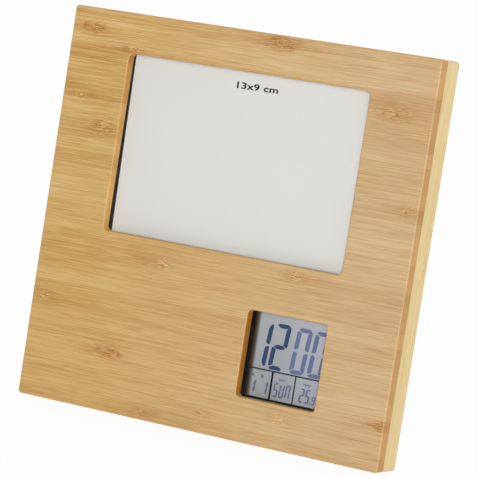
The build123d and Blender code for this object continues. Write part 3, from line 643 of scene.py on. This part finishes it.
def closed(shape, name):
    """The mesh of closed shapes, with their faces turned outwards."""
    bmesh.ops.recalc_face_normals(shape, faces=shape.faces[:])
    mesh = bpy.data.meshes.new(name)
    shape.to_mesh(mesh)
    shape.free()
    return mesh


def prism(shape, near, far):
    """Adds a closed solid between two outlines."""
    near, far = ([shape.verts.new(point) for point in outline] for outline in (near, far))
    shape.faces.new(near)
    shape.faces.new(far[::-1])
    for here in range(len(near)):
        there = (here + 1) % len(near)
        shape.faces.new((near[there], near[here], far[here], far[there]))


def thick_shapes(outlines, front, back):
    """A mesh of flat outlines on the upright frame's face, each with a front, a back and a rim."""
    shape = bmesh.new()
    for outline in outlines:
        prism(shape, *([(x, depth, height) for x, height in outline] for depth in (front, back)))
    return closed(shape, "shapes")


# Which strokes each figure lights: top, upper left, upper right, middle, lower left, lower right, bottom
FIGURES = {"0": "1110111", "1": "0010010", "2": "1011101", "3": "1011011", "4": "0111010", "5": "1101011",
           "6": "1101111", "7": "1010010", "8": "1111111", "9": "1111011", "S": "1101011", "U": "0110111",
           "N": "1110110", " ": "0000000"}


def stroke_outlines(figure, x, foot, width, height, stroke, slant, gap_share=0.16):
    """The outlines of a figure's lit strokes, centred on x at half height and leaned by the slant.

    gap_share is half the gap between two rising strokes, as a share of the stroke."""
    gap = stroke * gap_share
    half = stroke / 2
    left, right = -width / 2, width / 2
    middle, top = height / 2, height
    thin = stroke * 0.88

    def level(height_at, inner):
        """A level stroke whose ends are cut to points; inner is where its inner edge lies."""
        outer = 2 * height_at - inner
        tip, shoulder, heel = left + stroke * 0.24, left + stroke * 0.6, left + stroke + gap / 2
        return [(tip, height_at), (shoulder, outer), (-shoulder, outer), (-tip, height_at), (-heel, inner),
                (heel, inner)]

    def rising(side, low, high, cut_low, cut_high):
        """A rising stroke at one side, with its inner corners cut."""
        outer, inner = side * right, side * (right - stroke)
        tip = side * (right - stroke * 0.38)
        return [(outer, low + cut_low * 0.35), (tip, low), (inner, low + cut_low), (inner, high - cut_high),
                (tip, high), (outer, high - cut_high * 0.35)]

    tip, heel, edge = left + stroke * 0.35, left + stroke, thin / 2
    strokes = [
        level(top - thin / 2, top - thin),
        rising(-1, middle + gap, top - thin * 0.80, half * 0.7, half * 0.8),
        rising(1, middle + gap, top - thin * 0.40, half * 0.7, stroke * 0.8),
        [(tip, middle), (heel, middle + edge), (-heel, middle + edge), (-tip, middle), (-heel, middle - edge),
         (heel, middle - edge)],
        rising(-1, thin * 0.80, middle - gap, half * 0.8, half * 0.7),
        rising(1, thin * 0.40, middle - gap, stroke * 0.8, half * 0.7),
        level(thin / 2, thin)]
    lit = [outline for outline, flag in zip(strokes, FIGURES[figure]) if flag == "1"]
    return [[(x + across + (up - middle) * tan(slant), foot + up) for across, up in outline]
            for outline in lit]


def copies_tree():
    """A tree that puts a leaned unit shape at each point of a mesh, turned about its axis by chance."""
    recipe = Recipe(bpy.data.node_groups.new("Copies at places", "GeometryNodeTree"))
    places, unit, lean, turn, seed, finish = recipe.given(
        {"Places": "Geometry", "Unit shape": "Object", "Lean": "Float", "Largest turn": "Float",
         "Seed": "Int", "Finish": "Material"})
    shape = recipe.out("GeometryNodeObjectInfo", {"Object": unit}, "Geometry")
    leaned = recipe.out("ShaderNodeCombineXYZ", {"X": lean})
    copies = recipe.out("GeometryNodeInstanceOnPoints",
                        {"Points": places, "Instance": shape, "Rotation": leaned})
    chance = recipe.out("FunctionNodeRandomValue", {"Min": 0.0, "Max": turn, "Seed": seed}, "Value",
                        data_type="FLOAT")
    turned = recipe.out("GeometryNodeRotateInstances",
                        {"Instances": copies, "Rotation": recipe.out("ShaderNodeCombineXYZ", {"Y": chance}),
                         "Local Space": True})
    whole = recipe.out("GeometryNodeRealizeInstances", {0: turned})
    done = recipe.out("GeometryNodeSetMaterial", {"Geometry": whole, "Material": finish})
    recipe.give("Geometry", {"Pieces": done})
    return recipe.tree


def copies(name, node, tree, places, unit, lean, turn, seed, material, body):
    """A plain mesh piece of the unit shape at each place, which stands for a node."""
    spots = bpy.data.meshes.new("spots")
    spots.from_pydata(places, [], [])
    holder = linked("holder", spots)
    modifier = holder.modifiers.new("Copies", "NODES")
    modifier.node_group = tree
    values = {"Unit shape": unit, "Lean": lean, "Largest turn": turn, "Seed": seed, "Finish": material}
    for item in tree.interface.items_tree:
        if item.in_out == "INPUT" and item.name in values:
            modifier[item.identifier] = values[item.name]
    mesh = carried_out(holder)
    bpy.data.objects.remove(unit)
    for face in mesh.polygons:
        face.use_smooth = True
    mesh.set_sharp_from_angle(angle=SHARP)
    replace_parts(new_piece(name, mesh, material, body), node)


def turned_mesh(profile, steps=48):
    """A closed shape turned about the axis that runs backward, from a profile of radius and depth."""
    shape = bmesh.new()
    rings = []
    for radius, depth in profile:
        angles = [2 * pi * step / steps for step in range(steps if radius else 1)]
        rings.append([shape.verts.new((radius * cos(angle), depth, radius * sin(angle))) for angle in angles])
    for near, far in zip(rings, rings[1:]):
        for here in range(steps):
            there = (here + 1) % steps
            around = [ring[step % len(ring)] for ring, step in ((near, here), (near, there), (far, there),
                                                                (far, here))]
            shape.faces.new(list(dict.fromkeys(around)))
    return closed(shape, "turned")


def dome(radius, rise, base, steps=7):
    """The profile of a flattened dome from its rim to its top."""
    return [(radius * cos(pi / 2 * step / steps), base + rise * sin(pi / 2 * step / steps))
            for step in range(steps)] + [(0.0, base + rise)]


def cross_recess(radius, depth, top):
    """The tapered cross that a driver fits, as a closed cutter."""
    arm, half = radius * 0.56, radius * 0.14
    cross = [(half, half), (half, arm), (-half, arm)]
    for _ in range(3):
        cross += [(-z, x) for x, z in cross[-3:]]
    shape = bmesh.new()
    prism(shape, *([(x * share, height, z * share) for x, z in cross]
                   for share, height in ((0.42, top - depth), (1.12, top + depth * 0.3))))
    return linked("cross", closed(shape, "cross"))


def screw_unit(head_radius, head_height, shank_radius, length):
    """A cross-head screw that points forward, with the underside of its head at the origin."""
    rim = head_height * 0.42
    root = shank_radius * 0.82
    pitch = shank_radius * 0.62
    turns = int((length - shank_radius * 2.6) / pitch)
    tip = -length + shank_radius * 1.3
    profile = [(0.0, -length), (shank_radius * 0.22, -length + shank_radius * 0.25)]
    for foot in (tip + turn * pitch for turn in range(turns)):
        profile += [(root, foot), (shank_radius, foot + pitch * 0.42), (shank_radius, foot + pitch * 0.55)]
    profile += [(root, tip + turns * pitch), (root, -0.02 * MM), (head_radius * 0.94, 0.0),
                (head_radius, rim * 0.25), (head_radius, rim)]
    profile += dome(head_radius * 0.985, head_height - rim, rim)
    blank = linked("screw_blank", turned_mesh(profile))
    cutter = cross_recess(head_radius, head_height * 0.62, head_height)
    cut = blank.modifiers.new("Recess", "BOOLEAN")
    cut.operation = "DIFFERENCE"
    cut.solver = "EXACT"
    cut.object = cutter
    mesh = carried_out(blank)
    bpy.data.objects.remove(cutter)
    return linked("screw_unit", mesh)


def rivet_unit(radius, head_radius, rise, reach):
    """A rivet with a dimpled dome at its rear end and a plain dome at its front, as far from the origin."""
    dimple = head_radius * 0.28
    head = dome(head_radius, rise, reach)
    rear = [point for point in head[:-1] if point[0] > dimple]
    rear += [(dimple, reach + rise * 0.98), (dimple * 0.5, reach + rise * 0.55), (0.0, reach + rise * 0.45)]
    lead = [(across, -depth) for across, depth in head[::-1]]
    return linked("rivet_unit", turned_mesh(lead + [(radius, -reach), (radius, reach)] + rear, 32))


def solids_of(name, turn=UPRIGHT):
    """The lowest and highest corners of each separate solid of a node, once carried by a turn."""
    shape = bmesh.new()
    shape.from_mesh(CAD[name].data)
    bmesh.ops.remove_doubles(shape, verts=shape.verts[:], dist=0.001 * MM)
    found, seen = [], set()
    for start in shape.verts:
        if start in seen:
            continue
        seen.add(start)
        group, waiting = [], [start]
        while waiting:
            vertex = waiting.pop()
            group.append(turn @ vertex.co)
            fresh = {edge.other_vert(vertex) for edge in vertex.link_edges} - seen
            seen |= fresh
            waiting += fresh
        found.append(corners(group))
    shape.free()
    return found


def words_mesh(words, height, thickness, weight=0.0):
    """Raised words whose capitals have a given height, centred on the origin and read from the front.

    weight is how far each stroke is fattened on each side, as a share of the height."""
    curve = bpy.data.curves.new("words", "FONT")
    curve.body = words
    curve.align_x = "CENTER"
    curve.align_y = "CENTER"
    curve.size = height / CAPITALS
    curve.extrude = thickness / 2
    curve.offset = height * weight
    curve.space_character = 1.0 + weight
    curve.resolution_u = 3
    shape = bmesh.new()
    shape.from_mesh(carried_out(linked("words", curve)))
    bmesh.ops.remove_doubles(shape, verts=shape.verts[:], dist=0.0001 * MM)
    mesh = closed(shape, "words")
    mesh.transform(Matrix.Rotation(pi / 2, 4, "X"))
    return mesh


def joined(meshes):
    """Several closed meshes as one."""
    shape = bmesh.new()
    for mesh in meshes:
        shape.from_mesh(mesh)
    return closed(shape, "joined")


class CLOCK_OT_bamboo(bpy.types.Operator):
    """Give both boards and the stand leg their bamboo"""
    bl_idname = "frame_clock.bamboo"
    bl_label = "Bamboo"

    def execute(self, context):
        look = context.scene.clock_look.bamboo
        group = joint_group()
        face = Bamboo("bamboo_face", "XZY", LEAN, look.strip_height)
        face.set_joints(FACE_JOINTS, group)
        colour = face.fibres((look.deep_tone, look.warm_tone, look.pale_tone),
                             (look.sandy_deep_tone, look.sandy_warm_tone, look.sandy_pale_tone))
        colour = face.rimmed(face.marked(colour))
        put_on(face.oiled(face.ended(colour, face.window_ends())), "front_ply")
        tones = (look.edge_deep_tone, look.edge_tone, look.edge_pale_tone)
        for name, lean, joints, node in (("bamboo_rear", LEAN, REAR_JOINTS, "rear_ply"),
                                         ("bamboo_leg", LEAN - SWING, LEG_JOINTS, "stand_leg")):
            board = Bamboo(name, "ZXY", lean, look.rear_strip_width)
            board.set_joints(joints, group)
            colour = board.marked(board.fibres(tones, tones))
            put_on(board.oiled(board.ended(colour, look.end_tone)), node)
        return {"FINISHED"}


class CLOCK_OT_photo_stack(bpy.types.Operator):
    """Finish the glazing, the insert card and the boards behind it"""
    bl_idname = "frame_clock.photo_stack"
    bl_label = "Photo Stack"

    def execute(self, context):
        put_on(clear_sheet(), "photo_glazing", "display_lens")
        put_on(paper("insert_card", context.scene.clock_look.card.paper, 0.02), "photo_card")
        put_on(paper("black_card", tint(12, 7, 5), 0.2), "card_backer")
        put_on(corrugated(), "corrugated_filler")
        put_on(hardboard(), "backing_board")
        return {"FINISHED"}


class CLOCK_OT_size_mark(bpy.types.Operator):
    """Print a plain size mark near the top of the insert card"""
    bl_idname = "frame_clock.size_mark"
    bl_label = "Card Size Mark"
    place = (2.7 * MM, 159.6 * MM)
    width = 21.4 * MM
    weight = 0.035
    skew = radians(0.67)
    thickness = 0.02 * MM

    def execute(self, context):
        look = context.scene.clock_look.card
        mesh = words_mesh(look.words, look.letter_height, self.thickness, self.weight)
        low, high = corners([vertex.co for vertex in mesh.vertices])
        mesh.transform(Matrix.Diagonal((self.width / (high.x - low.x), 1, 1, 1)))
        mesh.transform(Matrix.Rotation(-self.skew, 4, "Y"))
        depth = upright_box("photo_card")[0].y - self.thickness / 2
        mesh.transform(STANDING @ Matrix.Translation((self.place[0], depth, self.place[1])))
        new_piece("card_size_mark", mesh, ink("print_black", tint(36, 36, 40)), "frame")
        return {"FINISHED"}


class CLOCK_OT_display(bpy.types.Operator):
    """Draw the time, date, weekday and temperature on the display, with the lines between them"""
    bl_idname = "frame_clock.display"
    bl_label = "Display"
    large_foot = 15.3 * MM
    hour_places = (7.47 * MM, 16.40 * MM)
    minute_places = (27.30 * MM, 36.40 * MM)
    small_foot = 3.35 * MM
    # The small figures, their places, width, height and stroke in millimetres; the last is the tenth
    small_fields = (("1", (5.75,), 3.0, 6.5, 1.2), ("1", (12.15,), 2.6, 6.5, 1.0),
                    ("SUN", (17.65, 20.75, 23.85), 2.5, 6.5, 0.8), ("25", (31.05, 33.95), 2.3, 6.5, 0.8),
                    ("9", (37.2,), 1.8, 3.9, 0.56))
    small_gap_share = 0.01
    point_place = 35.65 * MM
    point_size = 0.7 * MM
    line_height = 14.3 * MM
    line_thickness = 0.62 * MM
    line_start = 2.0 * MM
    inset = 0.4 * MM
    # The place and the thickness of each upright line
    upright_lines = ((15.05 * MM, 1.0 * MM), (26.85 * MM, 0.66 * MM))
    mark_foot = 11.45 * MM
    mark_height = 1.15 * MM
    # The words over the small fields, their places in millimetres and the weight of their strokes
    marks = (("M", 5.0, 0.13), ("D", 10.1, 0.13), ("DAY", 20.5, 0.06), ("TEMP", 32.9, 0.05))
    thickness = 0.02 * MM

    def row(self, text, places, *size):
        """The strokes of several figures, each at its place."""
        return [outline for figure, x in zip(text, places) for outline in stroke_outlines(figure, x, *size)]

    def small_row(self, slant):
        """The date, the weekday and the temperature with its point and tenth."""
        outlines = [self.bar(self.point_place, self.small_foot, self.point_size, self.point_size)]
        for text, places, width, height, stroke in self.small_fields:
            outlines += self.row(text, [place * MM for place in places], self.small_foot, width * MM,
                                 height * MM, stroke * MM, slant, self.small_gap_share)
        return outlines

    def bar(self, x, foot, width, height):
        """An upright rectangle centred on x."""
        left, right = x - width / 2, x + width / 2
        return [(left, foot), (right, foot), (right, foot + height), (left, foot + height)]

    def field_lines(self, width):
        """The level line and the two upright ones below it."""
        level = self.bar((width + self.line_start) / 2, self.line_height,
                         width - self.line_start - 2 * self.inset, self.line_thickness)
        return [level] + [self.bar(place, self.inset, thickness, self.line_height - self.inset)
                          for place, thickness in self.upright_lines]

    def field_marks(self):
        """The small words over the fields, as one mesh."""
        meshes = []
        for words, x, weight in self.marks:
            mesh = words_mesh(words, self.mark_height, self.thickness, weight)
            mesh.transform(Matrix.Translation((x * MM, -self.thickness / 2, self.mark_foot)))
            meshes.append(mesh)
        return joined(meshes)

    def execute(self, context):
        look = context.scene.clock_look.display
        put_on(display_ground(), "lcd_panel")
        low, high = upright_box("lcd_panel")
        size = (self.large_foot, look.figure_width, look.figure_height, look.stroke, look.slant)
        groups = (("hour_figures", self.row(look.hours, self.hour_places, *size), look.dark_ink),
                  ("minute_figures", self.row(look.minutes, self.minute_places, *size), look.pale_ink),
                  ("small_figures", self.small_row(look.slant), look.small_ink),
                  ("field_lines", self.field_lines(high.x - low.x), look.line_ink))
        pieces = [(name, thick_shapes(outlines, -self.thickness, 0.0), colour)
                  for name, outlines, colour in groups]
        pieces.append(("field_marks", self.field_marks(), look.small_ink))
        for name, mesh, colour in pieces:
            mesh.transform(STANDING @ Matrix.Translation(low))
            new_piece(name, mesh, ink(name + "_ink", colour), "frame")
        return {"FINISHED"}


class CLOCK_OT_clock_finishes(bpy.types.Operator):
    """Finish the clock's case, its push buttons and what lies inside"""
    bl_idname = "frame_clock.clock_finishes"
    bl_label = "Clock Finishes"

    def execute(self, context):
        put_on(moulded("black_plastic", tint(12, 10, 10), 0.5, gloss=0.12), "clock_case_front",
               "clock_case_back", "battery_door")
        put_on(moulded("grey_plastic", tint(150, 152, 155), 0.42, grain=0.25), *BUTTONS)
        put_on(moulded("black_resin", tint(16, 16, 18), 0.25, grain=2.0), "clock_chip")
        put_on(moulded("switch_black", tint(34, 34, 36), 0.4, grain=0.6), "key_switches")
        put_on(moulded("thermistor_bead", tint(42, 34, 30), 0.3, grain=0.8), "thermistor")
        put_on(moulded("connector_rubber", tint(198, 196, 204), 0.7, grain=0.5), "zebra_strip")
        put_on(moulded("grey_foam", tint(70, 72, 76), 0.9, grain=0.6, depth=0.2), "lcd_foam")
        put_on(circuit_finish(), "circuit_board")
        put_on(metal("reflector_foil", tint(200, 202, 205), 0.3, (6.0, 0.5, 0.5)), "lcd_reflector")
        put_on(metal("bright_metal", tint(205, 205, 200), 0.28, (0.5, 0.5, 4.0)),
               "quartz_crystal", "small_components", "button_cell", "battery_contact_negative",
               "battery_contact_positive", "buzzer_wires")
        put_on(metal("buzzer_brass", tint(206, 176, 104), 0.32, (1.0, 1.0, 1.0)), "buzzer_disc")
        return {"FINISHED"}


class CLOCK_OT_steel(bpy.types.Operator):
    """Plate the hinge and the turn buttons"""
    bl_idname = "frame_clock.steel"
    bl_label = "Plated Steel"

    def execute(self, context):
        put_on(metal("plated_steel", tint(196, 194, 186), 0.34, (0.4, 0.4, 6.0)), "hinge_leaf_fixed",
               "hinge_leaf_moving")
        put_on(metal("pin_steel", tint(186, 186, 182), 0.3, (6.0, 0.3, 0.3)), "hinge_pin")
        put_on(metal("pressed_steel", tint(198, 196, 190), 0.36, (7.0, 0.4, 0.4)), "turn_button_upper_left",
               "turn_button_upper_right", "turn_button_lower_left", "turn_button_lower_right")
        return {"FINISHED"}


class CLOCK_OT_fasteners(bpy.types.Operator):
    """Put a cross-head screw in each screw hole and a dimpled rivet through each leaf of the hinge"""
    bl_idname = "frame_clock.fasteners"
    bl_label = "Screws and Rivets"
    # The height of each screw's head and the radius of its shank
    screws = {"turn_button_screws": (1.8 * MM, 1.5 * MM), "module_screws": (1.5 * MM, 1.3 * MM),
              "case_screws": (1.1 * MM, 0.75 * MM)}
    screw_seed = 7
    rivet_seed = 3
    rivet_radius = 1.4 * MM
    rivet_rise = 0.6 * MM

    def execute(self, context):
        tree = copies_tree()
        steel = metal("screw_steel", tint(192, 190, 184), 0.3, (1.5, 1.5, 1.5))
        for name, (head_height, shank_radius) in self.screws.items():
            found = solids_of(name)
            low, high = found[0]
            unit = screw_unit((high.x - low.x) / 2, head_height, shank_radius, high.y - low.y - head_height)
            places = [STANDING @ Vector(((low.x + high.x) / 2, high.y - head_height, (low.z + high.z) / 2))
                      for low, high in found]
            copies(name.replace("screws", "cross_screws"), name, tree, places, unit, -LEAN, pi / 2,
                   self.screw_seed, steel, "frame")
        # The fixed leaf's rivets lean with the frame, and the leg's with the open leg
        self.rivets("fixed_leaf_rivets", -LEAN, "frame", tree, steel)
        self.rivets("leg_rivets", SWING - LEAN, "leg", tree, steel)
        return {"FINISHED"}

    def rivets(self, name, lean, body, tree, steel):
        """Domed rivets in place of a leaf's plain ones."""
        turn = Matrix.Rotation(lean, 3, "X")
        found = solids_of(name, turn.transposed())
        low, high = found[0]
        unit = rivet_unit(self.rivet_radius, (high.x - low.x) / 2, self.rivet_rise,
                          (high.y - low.y) / 2 - self.rivet_rise)
        places = [turn @ ((low + high) / 2) for low, high in found]
        copies(name.replace("rivets", "domed_rivets"), name, tree, places, unit, lean, 0.0, self.rivet_seed,
               steel, body)


class CLOCK_OT_cover_marks(bpy.types.Operator):
    """Mould plain words above the push buttons and an arrow on the battery door"""
    bl_idname = "frame_clock.cover_marks"
    bl_label = "Cover Marks"
    letter_height = 1.7 * MM
    raise_by = 0.18 * MM
    sink = 0.05 * MM
    gap = 1.3 * MM
    arrow_start = 0.28
    shaft = (5.0 * MM, 0.6 * MM)
    arrow_head = (8.5 * MM, 2.2 * MM)

    def execute(self, context):
        back = upright_box("clock_case_back")[1].y
        words = joined([self.word(name, back) for name in BUTTONS])
        arrow = thick_shapes([self.arrow()], back - self.sink, back + self.raise_by)
        black = bpy.data.materials["black_plastic"]
        for name, mesh, body in (("button_words", words, "frame"), ("door_arrow", arrow, "door")):
            mesh.transform(STANDING)
            new_piece(name, mesh, black, body)
        return {"FINISHED"}

    def word(self, name, back):
        """A push button's name, read from behind and raised above the button on the cover."""
        low, high = upright_box(name)
        mesh = words_mesh(name.split("_")[0].upper(), self.letter_height, self.raise_by + self.sink)
        place = ((low.x + high.x) / 2, back + (self.raise_by - self.sink) / 2,
                 high.z + self.gap + self.letter_height / 2)
        mesh.transform(Matrix.Translation(place) @ Matrix.Rotation(pi, 4, "Z"))
        return mesh

    def arrow(self):
        """The outline of an arrow along the way that the battery door slides."""
        low, high = upright_box("battery_door")
        middle = (low.z + high.z) / 2
        start = low.x + (high.x - low.x) * self.arrow_start
        (shaft, half), (tip, wing) = self.shaft, self.arrow_head
        upper = [(0.0, half), (shaft, half), (shaft, wing), (tip, 0.0)]
        lower = [(x, -height) for x, height in upper[:3]]
        return [(start + x, middle + height) for x, height in lower + upper[::-1]]


class CLOCK_OT_stage(bpy.types.Operator):
    """Set the floor, the light and the camera"""
    bl_idname = "frame_clock.stage"
    bl_label = "Stage"
    target = Vector((7.98, -22.11, 91.26)) * MM
    floor_size = 8.0
    floor_white = 0.95
    # Each lamp's place and width in metres, and its share of a power that the user sets
    lamps = {"key_light": ((0.80, -1.76, 0.78), 0.7, "key_power", 1.0),
             "right_light": ((1.95, 0.22, 0.60), 1.0, "side_power", 1.0),
             "left_light": ((-1.70, 0.15, 0.90), 1.0, "side_power", 0.5),
             "rear_light": ((0.3, 1.6, 1.3), 1.2, "rear_power", 1.0)}

    def execute(self, context):
        look = context.scene.clock_look.stage
        self.floor()
        self.room(look)
        for name, (place, size, power, share) in self.lamps.items():
            self.lamp(name, place, size, getattr(look, power) * share)
        self.camera(look)
        context.scene.view_settings.view_transform = "Standard"
        return {"FINISHED"}

    def floor(self):
        """A white floor that keeps a soft shadow and shows as white to the camera."""
        recipe = Finish("floor_white")
        tone = recipe.mix(recipe.noise(recipe.object_place, 40.0), tint(240, 240, 240), tint(246, 246, 246))
        glow = recipe.out("ShaderNodeEmission", {"Color": (1, 1, 1, 1), "Strength": 1.0})
        seen = recipe.rays("Camera", "Glossy", "Transmission") * self.floor_white
        material = recipe.finished(recipe.either(seen, recipe.surface(tone, 0.9), glow))
        half = self.floor_size / 2
        mesh = bpy.data.meshes.new("floor")
        mesh.from_pydata([(-half, -half, 0), (half, -half, 0), (half, half, 0), (-half, half, 0)], [],
                         [(0, 1, 2, 3)])
        mesh.materials.append(material)
        linked("floor", mesh)

    def room(self, look):
        """Weak light from all round, in a room that shows as white."""
        world = bpy.data.worlds.new("white_room")
        world.use_nodes = True
        world.node_tree.nodes.clear()
        recipe = Recipe(world.node_tree)
        soft, white = (recipe.out("ShaderNodeBackground", {"Color": (1, 1, 1, 1), "Strength": strength})
                       for strength in (look.room_light, 1.0))
        seen = recipe.rays("Camera", "Glossy", "Transmission")
        recipe.add("ShaderNodeOutputWorld", {"Surface": recipe.either(seen, soft, white)})
        bpy.context.scene.world = world

    def lamp(self, name, place, size, power):
        """A large square lamp that looks at the middle of the object."""
        light = bpy.data.lights.new(name, "AREA")
        light.shape = "SQUARE"
        light.size = size
        light.energy = power
        lamp = linked(name, light)
        lamp.location = place
        lamp.rotation_euler = (self.target - Vector(place)).to_track_quat("-Z", "Y").to_euler()

    def camera(self, look):
        """The camera at the photograph's angle."""
        lens = bpy.data.cameras.new("camera")
        lens.sensor_width = 36.0
        lens.lens = look.lens
        lens.clip_start = 0.05
        lens.dof.use_dof = False
        camera = linked("camera", lens)
        forward = Vector((-sin(look.turn) * cos(look.rise), cos(look.turn) * cos(look.rise), -sin(look.rise)))
        camera.location = self.target - forward * look.distance
        turned = forward.to_track_quat("-Z", "Y") @ Quaternion((0, 0, 1), -look.roll)
        camera.rotation_euler = turned.to_euler()
        bpy.context.scene.camera = camera


class CLOCK_PT_panel(bpy.types.Panel):
    """The sizes and colours, and the steps in order"""
    bl_idname = "CLOCK_PT_panel"
    bl_label = "Photo Frame Clock"
    bl_space_type = "VIEW_3D"
    bl_region_type = "UI"
    bl_category = "Frame Clock"

    def draw(self, context):
        look = context.scene.clock_look
        for part in (look.bamboo, look.display, look.card, look.stage):
            box = self.layout.box()
            for name in part.bl_rna.properties.keys():
                if name not in ("rna_type", "name"):
                    box.prop(part, name)
        for step in STEPS:
            self.layout.operator(step.bl_idname)


STEPS = (CLOCK_OT_stage, CLOCK_OT_bamboo, CLOCK_OT_photo_stack, CLOCK_OT_size_mark, CLOCK_OT_display,
         CLOCK_OT_clock_finishes, CLOCK_OT_steel, CLOCK_OT_fasteners, CLOCK_OT_cover_marks)
CLASSES = (BambooLook, DisplayLook, CardLook, StageLook, ClockLook, *STEPS, CLOCK_PT_panel)


def register():
    for kind in CLASSES:
        bpy.utils.register_class(kind)
    bpy.types.Scene.clock_look = PointerProperty(type=ClockLook)


def unregister():
    del bpy.types.Scene.clock_look
    for kind in reversed(CLASSES):
        bpy.utils.unregister_class(kind)


def main():
    """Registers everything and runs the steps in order."""
    register()
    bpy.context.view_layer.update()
    for step in STEPS:
        group, name = step.bl_idname.split(".")
        getattr(getattr(bpy.ops, group), name)()


if __name__ == "__main__":
    main()
